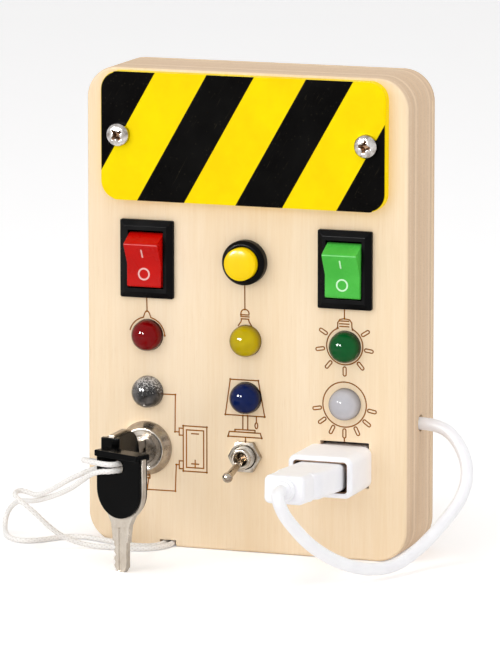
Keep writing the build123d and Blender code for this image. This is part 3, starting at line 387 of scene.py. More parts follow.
# The hazard stripes: how far they lean, the height they are measured at, and their edges there
stripe_lean = 0.572
stripe_level = 111.0
stripe_edges = (-34.4, -19.9, -6.6, 7.8, 20.9, 35.9)


def hazard_paint():
    """Slanting black bands printed on the yellow plate, worn by specks and hair scratches."""
    material, tree, shader = blank("hazard_paint", Specular_IOR_Level=0.02)
    place = object_place(tree)
    x, _, z = add(tree, "ShaderNodeSeparateXYZ", {0: place}).outputs
    lean = maths(tree, "MULTIPLY", maths(tree, "SUBTRACT", z, stripe_level * mm), stripe_lean)
    level = maths(tree, "DIVIDE", maths(tree, "SUBTRACT", x, lean), mm)
    blur = 0.06
    black = spread(tree, level, stripe_edges[0] - blur, stripe_edges[0] + blur, 1.0, 0.0)
    for low, high in zip(stripe_edges[1::2], stripe_edges[2::2]):
        rise = spread(tree, level, low - blur, low + blur)
        fall = spread(tree, level, high - blur, high + blur, 1.0, 0.0)
        black = maths(tree, "ADD", black, maths(tree, "MULTIPLY", rise, fall))
    black = maths(tree, "ADD", black, spread(tree, level, stripe_edges[-1] - blur, stripe_edges[-1] + blur))
    printed = spread(tree, facing_back(tree), -0.9, -0.6, 1.0, 0.0)
    black = maths(tree, "MULTIPLY", black, printed)
    skin = placed(tree, moulded, Smudge=90.0)
    yellow = mix_colour(tree, skin["Tone"], paint(254, 228, 6), paint(252, 216, 2))
    wear = placed(tree, scuffs)
    ink = mix_colour(tree, skin["Tone"], paint(4, 3, 3), paint(8, 7, 6))
    ink = mix_colour(tree, maths(tree, "MULTIPLY", wear["Hairs"], 0.12), ink, paint(110, 100, 78))
    ink = mix_colour(tree, maths(tree, "MULTIPLY", wear["Specks"], 0.03), ink, paint(150, 140, 112))
    height = maths(tree, "ADD", black, maths(tree, "MULTIPLY", skin["Height"], 0.4))
    dressed(tree, shader, mix_colour(tree, black, yellow, ink),
            between(tree, skin["Gloss"], 0.24, 0.36), height, 0.03)
    return material


def lens(name, deep_tone_and_shade, pale):
    """A tinted epoxy dome, deeper in tone towards its foot and where it turns away from the camera: painted
    shade.
    """
    material, tree, shader = blank(name, IOR=epoxy_ior, Specular_IOR_Level=0.12)
    place = object_place(tree)
    depth = coordinate(tree, place, 1)
    foot = spread(tree, depth, (front_y - 3.2) * mm, (front_y - 0.6) * mm)
    turned_away = add(tree, "ShaderNodeLayerWeight", {0: 0.5}).outputs["Facing"]
    # Painted shade: the deep colour at the dome's foot and where it turns away from the camera
    painted_rim_shade = maths(tree, "MAXIMUM", foot, spread(tree, turned_away, 0.4, 0.9))
    clouds = noise(tree, place, 340.0, 3.0)
    colour = mix_colour(tree, spread(tree, clouds, 0.3, 0.7, 0.0, 0.2), pale, deep_tone_and_shade)
    dressed(tree, shader, mix_colour(tree, painted_rim_shade, colour, deep_tone_and_shade),
            spread(tree, clouds, 0.3, 0.7, *lens_roughness), clouds, 0.001)
    return material


def smoky_lens():
    """Dark clear epoxy with pale specks that grow denser towards the top."""
    material, tree, shader = blank("clear_lens", IOR=epoxy_ior, Specular_IOR_Level=0.3)
    place = object_place(tree)
    height = coordinate(tree, place, 2)
    rise = spread(tree, height, (lower_lamp_row - 2.6) * mm, (lower_lamp_row + 3.2) * mm, 0.0, 0.3)
    specks = noise(tree, place, 2300.0, 3.0, 0.7)
    pale_specks = spread(tree, maths(tree, "ADD", specks, rise), 0.74, 0.88)
    haze = spread(tree, noise(tree, place, 420.0), 0.35, 0.65)
    smoke = mix_colour(tree, haze, paint(34, 32, 32), paint(92, 88, 86))
    dressed(tree, shader, mix_colour(tree, pale_specks, smoke, paint(206, 203, 200)),
            between(tree, pale_specks, 0.04, 0.2), pale_specks, 0.004)
    return material


def cord_fibre():
    """White cotton braid: crossing strands with faint gaps between them, darkened there by painted shade,
    and fine threads in each.
    """
    material, tree, shader = blank("string_white", Sheen_Weight=0.3, Sheen_Roughness=0.5)
    place = add(tree, "ShaderNodeUVMap").outputs[0]
    u, v, _ = add(tree, "ShaderNodeSeparateXYZ", {0: place}).outputs
    around = maths(tree, "MULTIPLY", u, braid_strands * math.pi)
    along = maths(tree, "MULTIPLY", v, uv_length * math.pi / braid_lobe)
    left = maths(tree, "ABSOLUTE", maths(tree, "COSINE", maths(tree, "ADD", around, along)))
    right = maths(tree, "ABSOLUTE", maths(tree, "COSINE", maths(tree, "SUBTRACT", around, along)))
    strand_mask_for_gap_shade = spread(tree, maths(tree, "MAXIMUM", left, right), 0.3, 0.85)
    threads = noise(tree, scaled(tree, (26.0, 60.0, 1.0), place), 1.0, 3.0, 0.6)
    colour = mix_colour(tree, spread(tree, threads, 0.35, 0.7), paint(252, 250, 247), paint(236, 231, 225))
    # The darker colour in the gaps between the strands is painted shade
    dressed(tree, shader, mix_colour(tree, strand_mask_for_gap_shade, paint(228, 223, 218), colour),
            spread(tree, threads, 0.3, 0.7, 0.7, 0.9), threads, 0.05)
    return material


def battery_wrap():
    """A printed sleeve with bare nickel at both ends."""
    material, tree, shader = blank("battery_wrap")
    place = object_place(tree)
    along = maths(tree, "ABSOLUTE", coordinate(tree, place, 0))
    bare = maths(tree, "GREATER_THAN", along, 21.6 * mm)
    band = maths(tree, "GREATER_THAN", along, 15.5 * mm)
    skin = placed(tree, moulded)
    sleeve = mix_colour(tree, band, paint(42, 44, 48), paint(196, 120, 44))
    sleeve = mix_colour(tree, maths(tree, "MULTIPLY", skin["Tone"], 0.3), sleeve, paint(20, 20, 20))
    tree.links.new(bare, shader.inputs["Metallic"])
    dressed(tree, shader, mix_colour(tree, bare, sleeve, paint(206, 202, 194)),
            between(tree, skin["Gloss"], 0.22, 0.36), skin["Height"], 0.01)
    return material


def circuit_mask():
    """Green solder mask with darker tracks under it."""
    material, tree, shader = blank("circuit_green", Coat_Weight=0.3, Coat_Roughness=0.2)
    tracks = add(tree, "ShaderNodeTexBrick", {
        "Vector": scaled(tree, (220.0, 220.0, 220.0)), "Color1": (*grey(0.0), 1.0),
        "Color2": (*grey(0.25), 1.0), "Mortar": (*grey(1.0), 1.0), "Scale": 1.0, "Mortar Size": 0.06,
    }).outputs[0]
    skin = placed(tree, moulded)
    base = mix_colour(tree, skin["Tone"], paint(18, 96, 52), paint(12, 78, 42))
    dressed(tree, shader, mix_colour(tree, tracks, base, paint(62, 138, 66)),
            between(tree, skin["Gloss"], 0.3, 0.45), tracks, 0.02)
    return material


def resistor_paint():
    """A beige body with colour rings across it."""
    material, tree, shader = blank("resistor_body", Coat_Weight=0.4, Coat_Roughness=0.2)
    place = object_place(tree)
    across = coordinate(tree, place, 0)
    pitch = maths(tree, "FRACT", maths(tree, "DIVIDE", across, 1.4 * mm))
    rings = ramp(tree, pitch, [
        (0.0, paint(214, 184, 138)), (0.36, paint(150, 70, 30)), (0.5, paint(214, 184, 138)),
        (0.7, paint(40, 36, 34)), (0.84, paint(214, 184, 138)),
    ], "CONSTANT")
    skin = placed(tree, moulded)
    colour = mix_colour(tree, maths(tree, "MULTIPLY", skin["Tone"], 0.2), rings, paint(120, 92, 60))
    dressed(tree, shader, colour, between(tree, skin["Gloss"], 0.3, 0.45), skin["Height"], 0.01)
    return material


front_y = -11.5
upper_lamp_row = 57.3
lower_lamp_row = 41.9
braid_strands = 4
braid_lobe = 1.4 * mm
uv_length = 10 * mm
wood = birch()
plywood_edge = birch("plywood_edge")
burnt = burnt_wood()
hazard = hazard_paint()
black_plastic = plastic("black_plastic", paint(4, 4, 5), paint(8, 7, 8), (0.26, 0.38), 0.006,
                        Specular_IOR_Level=0.06)
red_plastic = plastic("red_plastic", paint(204, 12, 4), paint(190, 8, 3), (0.22, 0.32), 0.004,
                      Specular_IOR_Level=0.12)
green_plastic = plastic("green_plastic", paint(84, 198, 76), paint(72, 186, 66), (0.22, 0.32), 0.004,
                        Specular_IOR_Level=0.12)
yellow_plastic = plastic("yellow_plastic", paint(254, 218, 2), paint(250, 208, 0), (0.2, 0.3), 0.004,
                         Specular_IOR_Level=0.15)
white_plastic = plastic("white_plastic", paint(250, 250, 253), paint(246, 245, 249), (0.44, 0.52), 0.001,
                        Specular_IOR_Level=0.3)
red_case = plastic("red_case", paint(168, 40, 30), paint(150, 32, 26))
key_plastic = plastic("key_plastic", paint(3, 3, 3), paint(6, 6, 6), (0.12, 0.2), 0.002,
                      Specular_IOR_Level=0.05)
red_mark = plastic("red_mark", paint(238, 186, 180), paint(226, 170, 164), (0.3, 0.4))
green_mark = plastic("green_mark", paint(206, 250, 204), paint(194, 240, 192), (0.3, 0.4))
cable_jacket = plastic("cable_jacket", paint(249, 249, 251), paint(244, 243, 246), (0.36, 0.46), 0.004,
                       2400.0, Specular_IOR_Level=0.35)
# screw_steel, lever_steel, nickel and lock_chrome: their dark brown clouds are painted reflections
screw_steel = metal("screw_steel", paint(222, 219, 216), paint(118, 106, 96), (0.1, 0.2), clouds=480.0)
# A dark brown steel put in the screw recesses and inside the socket's opening: painted shade
painted_shade_steel = metal("painted_shade_steel", paint(120, 96, 76), paint(84, 62, 46), (0.3, 0.45))
contact_nickel = metal("contact_nickel", paint(214, 210, 200), paint(190, 184, 172))
spring_steel = metal("spring_steel", paint(190, 190, 192), paint(160, 160, 162))
brass = metal("brass", paint(214, 176, 96), paint(190, 148, 74))
lever_steel = metal("lever_steel", paint(210, 200, 186), paint(120, 106, 92), (0.1, 0.2), clouds=520.0)
nickel = metal("nickel", paint(204, 196, 184), paint(124, 114, 102), (0.14, 0.28), clouds=420.0)
lock_chrome = metal("lock_chrome", paint(196, 190, 182), paint(146, 136, 126), (0.16, 0.32), clouds=300.0)
key_nickel = metal("key_nickel", paint(188, 180, 169), paint(156, 146, 134), (0.24, 0.38))
red_lens = lens("red_lens", paint(58, 0, 2), paint(128, 2, 5))
yellow_lens = lens("yellow_lens", paint(128, 104, 0), paint(196, 172, 4))
green_lens = lens("green_lens", paint(2, 38, 14), paint(8, 88, 38))
blue_lens = lens("blue_lens", paint(3, 6, 22), paint(10, 30, 84))
diffuse_lens = lens("diffuse_lens", paint(140, 138, 142), paint(196, 194, 199))
clear_lens = smoky_lens()
string_white = cord_fibre()
wrap = battery_wrap()
circuit_green = circuit_mask()
resistor_body = resistor_paint()


# ---------------------------------------------------------------------------------------------
# Shaping, in millimetres in the front face's own frame: right, up and outwards
# ---------------------------------------------------------------------------------------------
outwards = Matrix(((1, 0, 0, 0), (0, 0, -1, 0), (0, 1, 0, 0), (0, 0, 0, 1)))
face_place = Matrix.Translation((0, front_y, 0)) @ outwards


def in_scene(name, data):
    """A new object in the scene."""
    item = bpy.data.objects.new(name, data)
    bpy.context.scene.collection.objects.link(item)
    return item


def finished(name, shape, material, place=face_place, sharp=35.0):
    """A piece from a shape in millimetres, set in its place in metres, with its faces outwards."""
    shape.transform(Matrix.Scale(mm, 4) @ place)
    bmesh.ops.recalc_face_normals(shape, faces=shape.faces)
    mesh = bpy.data.meshes.new(name)
    shape.to_mesh(mesh)
    shape.free()
    mesh.materials.append(material)
    mesh.shade_smooth()
    mesh.set_sharp_from_angle(angle=math.radians(sharp))
    return in_scene(name, mesh)


def fitted(piece, body, slot, *replaced):
    """Makes the piece move with its body and hides the nodes that it stands for; its finish is not used."""
    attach(piece, body)
    if replaced:
        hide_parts(*replaced)
    return piece


def eased(points, reach, steps=4, closed=False):
    """A flat profile with each corner cut back by reach and rounded."""
    result = []
    last = len(points) - 1
    for i, here in enumerate(points):
        here = Vector(here)
        if not closed and i in (0, last):
            result.append(here)
            continue
        back = Vector(points[i - 1]) - here
        ahead = Vector(points[(i + 1) % len(points)]) - here
        cut = min(reach, 0.45 * back.length, 0.45 * ahead.length)
        start = here + back.normalized() * cut
        end = here + ahead.normalized() * cut
        for k in range(steps + 1):
            t = k / steps
            result.append(start * (1 - t) ** 2 + here * 2 * t * (1 - t) + end * t**2)
    return result


on_axis = 1e-6


def lathed(profile, u=0.0, v=0.0, closed=False, segments=64):
    """A shape turned about an axis that points outwards, from (radius, height) points."""
    shape = bmesh.new()
    rings = []
    for radius, w in profile:
        if radius < on_axis:
            rings.append([shape.verts.new((u, v, w))])
            continue
        angles = [2 * math.pi * i / segments for i in range(segments)]
        around = [(u + radius * math.cos(a), v + radius * math.sin(a), w) for a in angles]
        rings.append([shape.verts.new(place) for place in around])
    pairs = list(zip(rings, rings[1:]))
    if closed:
        pairs.append((rings[-1], rings[0]))
    for low, high in pairs:
        for i in range(segments):
            j = (i + 1) % segments
            corners = [low[i % len(low)], low[j % len(low)], high[j % len(high)], high[i % len(high)]]
            shape.faces.new(list(dict.fromkeys(corners)))
    return shape


def bridged(shape, low, high):
    """A band of faces from one ring of points to the next."""
    for i in range(len(low)):
        j = (i + 1) % len(low)
        shape.faces.new((low[i], low[j], high[j], high[i]))


def capped(shape, first, last):
    """The faces that close both ends of a tube."""
    shape.faces.new(tuple(reversed(first)))
    shape.faces.new(last)


# Copies of the nodes: how near doubles lie, and the angles between faces that count as flat or as an edge
same_place = 1e-6
flat_within = math.radians(1.0)
soft_from = math.radians(32.0)
rim_from = math.radians(40.0)
rim_segments = 4


def merged_copy(node):
    """A node's shape with its doubles merged and its flat faces made whole, in metres."""
    shape = bmesh.new()
    shape.from_mesh(nodes[node].data)
    bmesh.ops.remove_doubles(shape, verts=shape.verts, dist=same_place)
    bmesh.ops.dissolve_limit(shape, angle_limit=flat_within, verts=shape.verts, edges=shape.edges)
    return shape


def from_metres(name, shape, material, sharp=35.0):
    return finished(name, shape, material, Matrix.Scale(1 / mm, 4), sharp)


def flattened(piece):
    """Keeps broad faces evenly shaded beside their rounded edges."""
    weights = piece.modifiers.new("broad_faces", "WEIGHTED_NORMAL")
    weights.keep_sharp = True
    weights.weight = 100
    return piece


def softened(node, name, material, width, segments=3):
    """A copy of a node with every sharp edge rounded."""
    piece = from_metres(name, merged_copy(node), material, 60.0)
    bevel = piece.modifiers.new("soft_edges", "BEVEL")
    bevel.width = width * mm
    bevel.segments = segments
    bevel.limit_method = "ANGLE"
    bevel.angle_limit = soft_from
    bevel.harden_normals = False
    bevel.miter_outer = "MITER_ARC"
    return flattened(piece)


def rim_softened(node, name, material, reach, chosen, split=False):
    """A copy of a node with only the chosen edges rounded, told by the edge's middle in millimetres.

    Split cuts the faces into triangles first, where whole ones would come out overlapping.
    """
    shape = merged_copy(node)
    if split:
        bmesh.ops.triangulate(shape, faces=shape.faces)
    edges = [
        edge for edge in shape.edges
        if len(edge.link_faces) == 2 and edge.calc_face_angle(0) > rim_from
        and chosen(*((edge.verts[0].co + edge.verts[1].co) / 2 / mm))
    ]
    bmesh.ops.bevel(
        shape, geom=edges, offset=reach * mm, segments=rim_segments, profile=0.5, affect="EDGES",
        clamp_overlap=False,
    )
    return flattened(from_metres(name, shape, material))


def carve(piece, cutter, name, overlapping=False):
    """Adds a cut whose walls take the cutter's own material."""
    cut = piece.modifiers.new(name, "BOOLEAN")
    cut.operation = "DIFFERENCE"
    cut.solver = "EXACT"
    cut.use_self = overlapping
    cut.material_mode = "TRANSFER"
    cut.object = cutter


def settled(piece):
    """Turns what a piece's modifiers make into its plain mesh."""
    made = bpy.data.meshes.new_from_object(piece.evaluated_get(bpy.context.evaluated_depsgraph_get()))
    piece.modifiers.clear()
    piece.data = made
    return piece


# ---------------------------------------------------------------------------------------------
# Geometry Nodes for what repeats
# ---------------------------------------------------------------------------------------------
def geometry_group(name, inputs):
    """A Geometry Nodes tree with its named inputs and its geometry sockets."""
    group = bpy.data.node_groups.new(name, "GeometryNodeTree")
    group.interface.new_socket(name="Geometry", in_out="INPUT", socket_type="NodeSocketGeometry")
    group.interface.new_socket(name="Geometry", in_out="OUTPUT", socket_type="NodeSocketGeometry")
    for label, kind in inputs:
        group.interface.new_socket(name=label, in_out="INPUT", socket_type="NodeSocket" + kind)
    return group, group.nodes.new("NodeGroupInput").outputs, group.nodes.new("NodeGroupOutput").inputs


def copied(group, given, result, source, points, turn=None, kept=None):
    """Ends a tree: real copies of its source on the points, in its material but for the kept one's faces."""
    original = add(group, "GeometryNodeObjectInfo", {"Object": given[source]}).outputs["Geometry"]
    seats = {"Points": points, "Instance": original}
    if turn is not None:
        seats["Rotation"] = turn
    copies = add(group, "GeometryNodeInstanceOnPoints", seats).outputs[0]
    real = add(group, "GeometryNodeRealizeInstances", {0: copies}).outputs[0]
    chosen = {"Geometry": real, "Material": given["Material"]}
    if kept is not None:
        others = add(group, "GeometryNodeMaterialSelection", {"Material": kept}).outputs[0]
        chosen["Selection"] = add(group, "FunctionNodeBooleanMath", {0: others}, operation="NOT").outputs[0]
    group.links.new(add(group, "GeometryNodeSetMaterial", chosen).outputs[0], result[0])


def screw_set_group():
    """A screw on every point, each turned by its own chance amount about its axis."""
    group, given, result = geometry_group(
        "screw_set", [("Screw", "Object"), ("Turn", "Float"), ("Seed", "Int"), ("Material", "Material"),
                      ("Recess", "Material")]
    )
    points = add(group, "GeometryNodeMeshToPoints", {"Mesh": given["Geometry"]}).outputs[0]
    chance = add(group, "FunctionNodeRandomValue", {2: 0.0, 3: given["Turn"], "Seed": given["Seed"]},
                 data_type="FLOAT").outputs[1]
    turn = add(group, "ShaderNodeCombineXYZ", {1: chance}).outputs[0]
    copied(group, given, result, "Screw", points, turn, given["Recess"])
    return group


def ray_ring_group():
    """Copies of a slot set round a centre, like the rays of a shining lamp."""
    group, given, result = geometry_group("ray_ring", [
        ("Slot", "Object"), ("Count", "Int"), ("First", "Float"), ("Step", "Float"), ("Radius", "Float"),
        ("Centre", "Vector"), ("Material", "Material"),
    ])
    index = add(group, "GeometryNodeInputIndex").outputs[0]
    angle = maths(group, "ADD", given["First"], maths(group, "MULTIPLY", index, given["Step"]))
    across = maths(group, "MULTIPLY", maths(group, "COSINE", angle), given["Radius"])
    up = maths(group, "MULTIPLY", maths(group, "SINE", angle), given["Radius"])
    offset = add(group, "ShaderNodeCombineXYZ", {0: across, 2: up}).outputs[0]
    place = add(group, "ShaderNodeVectorMath", {0: offset, 1: given["Centre"]}, operation="ADD").outputs[0]
    points = add(group, "GeometryNodePoints", {"Count": given["Count"], "Position": place}).outputs[0]
    turn = add(group, "ShaderNodeCombineXYZ", {1: maths(group, "MULTIPLY", angle, -1.0)}).outputs[0]
    copied(group, given, result, "Slot", points, turn)
    return group


def ring_row_group():
    """Rings set one behind the other along a barrel: its thread."""
    group, given, result = geometry_group(
        "ring_row", [("Ring", "Object"), ("Count", "Int"), ("Pitch", "Float"), ("Material", "Material")]
    )
    index = add(group, "GeometryNodeInputIndex").outputs[0]
    run = maths(group, "MULTIPLY", index, given["Pitch"])
    place = add(group, "ShaderNodeCombineXYZ", {1: run}).outputs[0]
    points = add(group, "GeometryNodePoints", {"Count": given["Count"], "Position": place}).outputs[0]
    copied(group, given, result, "Ring", points)
    return group


def grown(name, group, carrier=None, **values):
    """Runs a tree on a carrier mesh and keeps what it makes as a plain piece."""
    piece = in_scene(name, carrier or bpy.data.meshes.new(name))
    modifier = piece.modifiers.new(group.name, "NODES")
    modifier.node_group = group
    for socket in group.interface.items_tree:
        if socket.name in values:
            modifier[socket.identifier] = values[socket.name]
    return settled(piece)


def put_away(*tools):
    """Removes objects that only helped to make others."""
    for tool in tools:
        bpy.data.objects.remove(tool)


screw_set = screw_set_group()
ray_ring = ray_ring_group()
ring_row = ring_row_group()


# ---------------------------------------------------------------------------------------------
# Camera
# ---------------------------------------------------------------------------------------------
camera_data = bpy.data.cameras.new("camera")
camera_data.lens = camera_lens
camera = in_scene("camera", camera_data)
camera.location = camera_place
camera.rotation_euler = (camera_tilt, 0.0, camera_turn)
bpy.context.scene.camera = camera


# ---------------------------------------------------------------------------------------------
# Cable and string
# ---------------------------------------------------------------------------------------------
def centreline(name, route, fineness):
    """The points of the smooth line that has the route's points as its control points."""
    curve = bpy.data.curves.new(name, "CURVE")
    curve.dimensions = "3D"
    curve.resolution_u = fineness
    spline = curve.splines.new("NURBS")
    spline.points.add(len(route) - 1)
    for point, place in zip(spline.points, route):
        point.co = (*(value * mm for value in place), 1.0)
    spline.order_u = 3
    spline.use_endpoint_u = True
    holder = bpy.data.objects.new(name, curve)
    line = bpy.data.meshes.new_from_object(holder)
    points = [vertex.co.copy() for vertex in line.vertices]
    bpy.data.objects.remove(holder)
    bpy.data.meshes.remove(line)
    return points


def cord_tube(name, points, radius, sides, material, relief=None):
    """A round tube along the points, closed at both ends, with UVs round and along it."""
    shape = bmesh.new()
    layer = shape.loops.layers.uv.new("along")
    rings, lengths = [], []
    side = None
    run = 0.0
    for i, here in enumerate(points):
        ahead = (points[min(i + 1, len(points) - 1)] - points[max(i - 1, 0)]).normalized()
        if side is None:
            side = ahead.orthogonal().normalized()
        else:
            side = (side - ahead * side.dot(ahead)).normalized()
            run += (here - points[i - 1]).length
        third = ahead.cross(side)
        ring = []
        for k in range(sides):
            angle = 2 * math.pi * k / sides
            reach = radius * (1.0 if relief is None else relief(angle, run))
            ring.append(shape.verts.new(here + (side * math.cos(angle) + third * math.sin(angle)) * reach))
        rings.append(ring)
        lengths.append(run)
    for i in range(len(rings) - 1):
        for k in range(sides):
            j = (k + 1) % sides
            face = shape.faces.new((rings[i][k], rings[i][j], rings[i + 1][j], rings[i + 1][k]))
            around = ((k, i), (k + 1, i), (k + 1, i + 1), (k, i + 1))
            for loop, (turn, level) in zip(face.loops, around):
                loop[layer].uv = (turn / sides, lengths[level] / uv_length)
    capped(shape, rings[0], rings[-1])
    return from_metres(name, shape, material, 60.0)


def braid(angle, run):
    """The swell of a round braid's crossing strands, as a share of the string's radius."""
    left = math.cos(braid_strands * angle / 2 + math.pi * run / braid_lobe) ** 2
    right = math.cos(braid_strands * angle / 2 - math.pi * run / braid_lobe) ** 2
    return 0.86 + 0.14 * max(left, right)


cable_line = centreline("cable_line", cable_route, 18)
cable = cord_tube("usb_cable_jacket", cable_line, cable_diameter / 2, 28, cable_jacket)
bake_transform(cable)
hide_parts("usb_cable")

string_line = centreline("string_line", string_route, 24)
string = cord_tube("key_string", string_line, string_diameter / 2, 16, string_white, braid)
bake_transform(string)
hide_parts("string_strand_a", "string_loop", "string_strand_b")


# ---------------------------------------------------------------------------------------------
# The wooden block and its engraving
# ---------------------------------------------------------------------------------------------
board_half_width = 45.0
board_height = 129.0
board_corner = 8.5
column = 27.8
rocker_row = 77.9
button_row = 78.5
toggle_place = (0.0, 26.1)
lock_place = (-28.4, 26.6)
line_width = 0.35
line_depth = 0.2
dot_radius = 0.3
dot_depth = line_depth + 0.12
dot_proud = 0.25
cutter_proud = 0.2
ray_width = 0.85
ray_line = 0.34
outline_reach = 0.2


def arc(x, z, radius, first, last, steps=24):
    """Points on an arc, its angles in degrees from the right towards the top."""
    turns = [math.radians(first + (last - first) * i / steps) for i in range(steps + 1)]
    return [(x + radius * math.cos(turn), z + radius * math.sin(turn)) for turn in turns]


def groove(shape, points, closed=False, width=line_width):
    """A cutter along a line on the face, mitred at its corners."""
    points = [Vector(point) for point in points]
    count = len(points)
    rows = []
    for i, here in enumerate(points):
        back = here - points[i - 1] if closed or i else None
        ahead = points[(i + 1) % count] - here if closed or i < count - 1 else None
        back = (back or ahead).normalized()
        ahead = (ahead or back).normalized()
        along = (back + ahead).normalized()
        across = Vector((-along.y, along.x))
        reach = width / 2 / max(0.5, across.dot(Vector((-back.y, back.x))))
        if not closed and i in (0, count - 1):
            here = here + along * (width / 2 if i else -width / 2)
        sides = (here - across * reach, here + across * reach)
        low = [shape.verts.new((*side, -line_depth)) for side in sides]
        high = [shape.verts.new((*side, cutter_proud)) for side in sides]
        rows.append((low[0], low[1], high[1], high[0]))
    pairs = list(zip(rows, rows[1:])) + ([(rows[-1], rows[0])] if closed else [])
    for first, second in pairs:
        bridged(shape, first, second)
    if not closed:
        capped(shape, rows[0], rows[-1])


def scorch(shape, x, z):
    """A deeper spot where the burner paused."""
    sides = 12
    angles = [2 * math.pi * i / sides for i in range(sides)]
    rims = [
        [shape.verts.new((x + dot_radius * math.cos(a), z + dot_radius * math.sin(a), w)) for a in angles]
        for w in (-dot_depth, dot_proud)
    ]
    bridged(shape, *rims)
    capped(shape, *rims)


open_lines = [
    # The wires above the lamps, the bulb caps and their bases
    [(-28.2, 67.6), (-28.08, 63.7)],
    [(-0.42, 72.7), (-0.38, 65.7)],
    [(27.45, 67.6), (27.45, 64.75)],
    arc(-28.1, 57.05, 5.0, 164, 108) + [(-29.12, 61.98), (-28.78, 63.0), (-28.45, 63.55), (-28.06, 63.7),
                                        (-27.72, 63.55), (-27.38, 63.0), (-27.02, 61.98)]
    + arc(-28.1, 57.05, 5.0, 68, 3),
    arc(-0.36, 64.55, 1.15, 196, -16, 12) + [(-1.47, 64.2)],
    [(-1.5, 63.72), (0.78, 63.72)],
    [(-1.4, 63.1), (0.68, 63.1)],
    [(-1.3, 63.1), (-1.5, 62.3), (-2.2, 61.3)],
    [(0.6, 63.1), (0.85, 62.3), (1.5, 61.3)],
    arc(27.57, 57.45, 5.03, 112, 423, 56) + [(29.56, 62.4), (29.5, 63.7), (28.92, 64.5), (27.45, 64.75),
                                             (26.2, 64.5), (25.6, 63.6), (25.6, 62.4)],
    [(26.2, 64.1), (28.65, 64.1)],
    [(26.1, 63.35), (28.7, 63.35)],
    [(26.2, 62.65), (28.65, 62.65)],
    # The wire from the clear lamp to the battery, and back to the lock
    [(-23.7, 41.45), (-20.1, 41.5), (-20.2, 31.45), (-19.02, 31.45)],
    [(-19.02, 22.55), (-19.87, 22.5), (-20.15, 15.25), (-28.2, 15.2), (-27.75, 18.35)],
    # Minus and plus
    [(-15.45, 31.2), (-13.55, 31.2)],
    [(-15.45, 23.0), (-13.5, 23.0)],
    [(-14.49, 24.0), (-14.49, 21.9)],
    # The table lamp's posts, chain and foot
    [(-0.96, 37.0), (-0.96, 33.2)],
    [(0.42, 37.0), (0.42, 33.2)],
    [(2.85, 37.0), (2.85, 35.35)],
    [(-0.19, 31.2), (-0.19, 30.1)],
    # The wire down to the socket
    [(27.55, 32.6), (27.55, 31.6)],
]
closed_lines = [
    # Battery
    [(-17.87, 20.9), (-11.16, 20.9), (-11.16, 33.2), (-17.87, 33.2)],
    [(-16.96, 21.95), (-12.07, 21.95), (-12.07, 32.15), (-16.96, 32.15)],
    [(-19.02, 30.6), (-17.87, 30.6), (-17.87, 32.5), (-19.02, 32.5)],
    [(-19.02, 21.5), (-17.87, 21.5), (-17.87, 23.6), (-19.02, 23.6)],
    [(-28.54, 18.35), (-27.4, 18.35), (-27.4, 19.1), (-28.54, 19.1)],
    # Table lamp: shade, plinth, foot and the drop on the chain
    [(-4.51, 46.64), (3.39, 46.68), (5.19, 37.02), (-5.9, 37.03)],
    [(-3.19, 33.15), (2.45, 33.22), (2.5, 32.55), (-3.19, 32.5)],
    [(-4.8, 32.5), (3.95, 32.5), (4.35, 31.2), (-5.15, 31.2)],
    [(2.85 + 0.38 * math.cos(math.tau * i / 12), 34.5 + 0.8 * math.sin(math.tau * i / 12))
     for i in range(12)],
    # The ring round the grey lamp
    arc(27.57, 41.75, 6.05, 0, 354, 59),
]
scorched_ends = [
    (-28.08, 63.7), (-0.38, 65.7), (27.45, 64.75), (-20.1, 41.5), (-20.2, 31.45), (-19.87, 22.5),
    (-20.15, 15.25), (-28.2, 15.2), (-27.6, 18.35), (-23.1, 57.3), (-4.51, 46.64), (3.39, 46.68),
    (5.19, 37.02), (-5.9, 37.03), (-0.19, 30.1), (-0.96, 37.0), (0.42, 37.0), (-5.15, 31.2),
    (4.35, 31.2), (-11.16, 33.2), (-17.87, 33.2), (-11.16, 20.9), (-17.87, 20.9), (-1.47, 64.2),
    (25.6, 62.2), (29.75, 61.95),
]


def on_outline(x, z):
    """Whether a point of the face lies on the block's rounded outline."""
    inner_x = max(abs(x) - (board_half_width - board_corner), 0.0)
    inner_z = max(abs(z - board_height / 2) - (board_height / 2 - board_corner), 0.0)
    return abs(math.hypot(inner_x, inner_z) - board_corner) < outline_reach


def on_rim(x, y, z):
    """Whether a point lies on the outline of the front or back face."""
    return abs(y) > -front_y - 0.01 and on_outline(x, z)


board_front = rim_softened("front_panel", "board_front", wood, 0.8, on_rim)
board_back = rim_softened("back_panel", "board_back", wood, 0.8, on_rim, split=True)

lines = bmesh.new()
for points in open_lines:
    groove(lines, points)
for points in closed_lines:
    groove(lines, points, closed=True)
for x, z in scorched_ends:
    scorch(lines, x, z)
line_cutter = finished("line_cutter", lines, burnt)

slot_shape = bmesh.new()
half_slot = 1.22
slot_round = ray_width / 2
groove(slot_shape, arc(half_slot - slot_round, 0, slot_round, -90, 90, 8)
       + arc(slot_round - half_slot, 0, slot_round, 90, 270, 8), closed=True, width=ray_line)
ray_slot = finished("ray_slot", slot_shape, burnt, outwards)
ray_marks = [
    grown(name, ray_ring, Slot=ray_slot, Count=7, First=math.radians(first), Step=math.radians(step),
          Radius=radius * mm, Centre=(x * mm, front_y * mm, z * mm), Material=burnt)
    for name, first, step, radius, x, z in (
        ("green_rays", 149, 40.5, 6.85, 27.5, 57.5),
        ("grey_rays", 190, 26.6, 7.75, 27.57, 41.75),
    )
]
for cutter in (line_cutter, *ray_marks):
    carve(board_front, cutter, "engraving", overlapping=True)
board_front.modifiers.remove(board_front.modifiers["broad_faces"])
settled(board_front)
board_front.data.set_sharp_from_angle(angle=math.radians(35))
flattened(board_front)
put_away(line_cutter, ray_slot, *ray_marks)
fitted(board_front, "board", "birch_face", "front_panel")
fitted(board_back, "board", "birch_face", "back_panel")
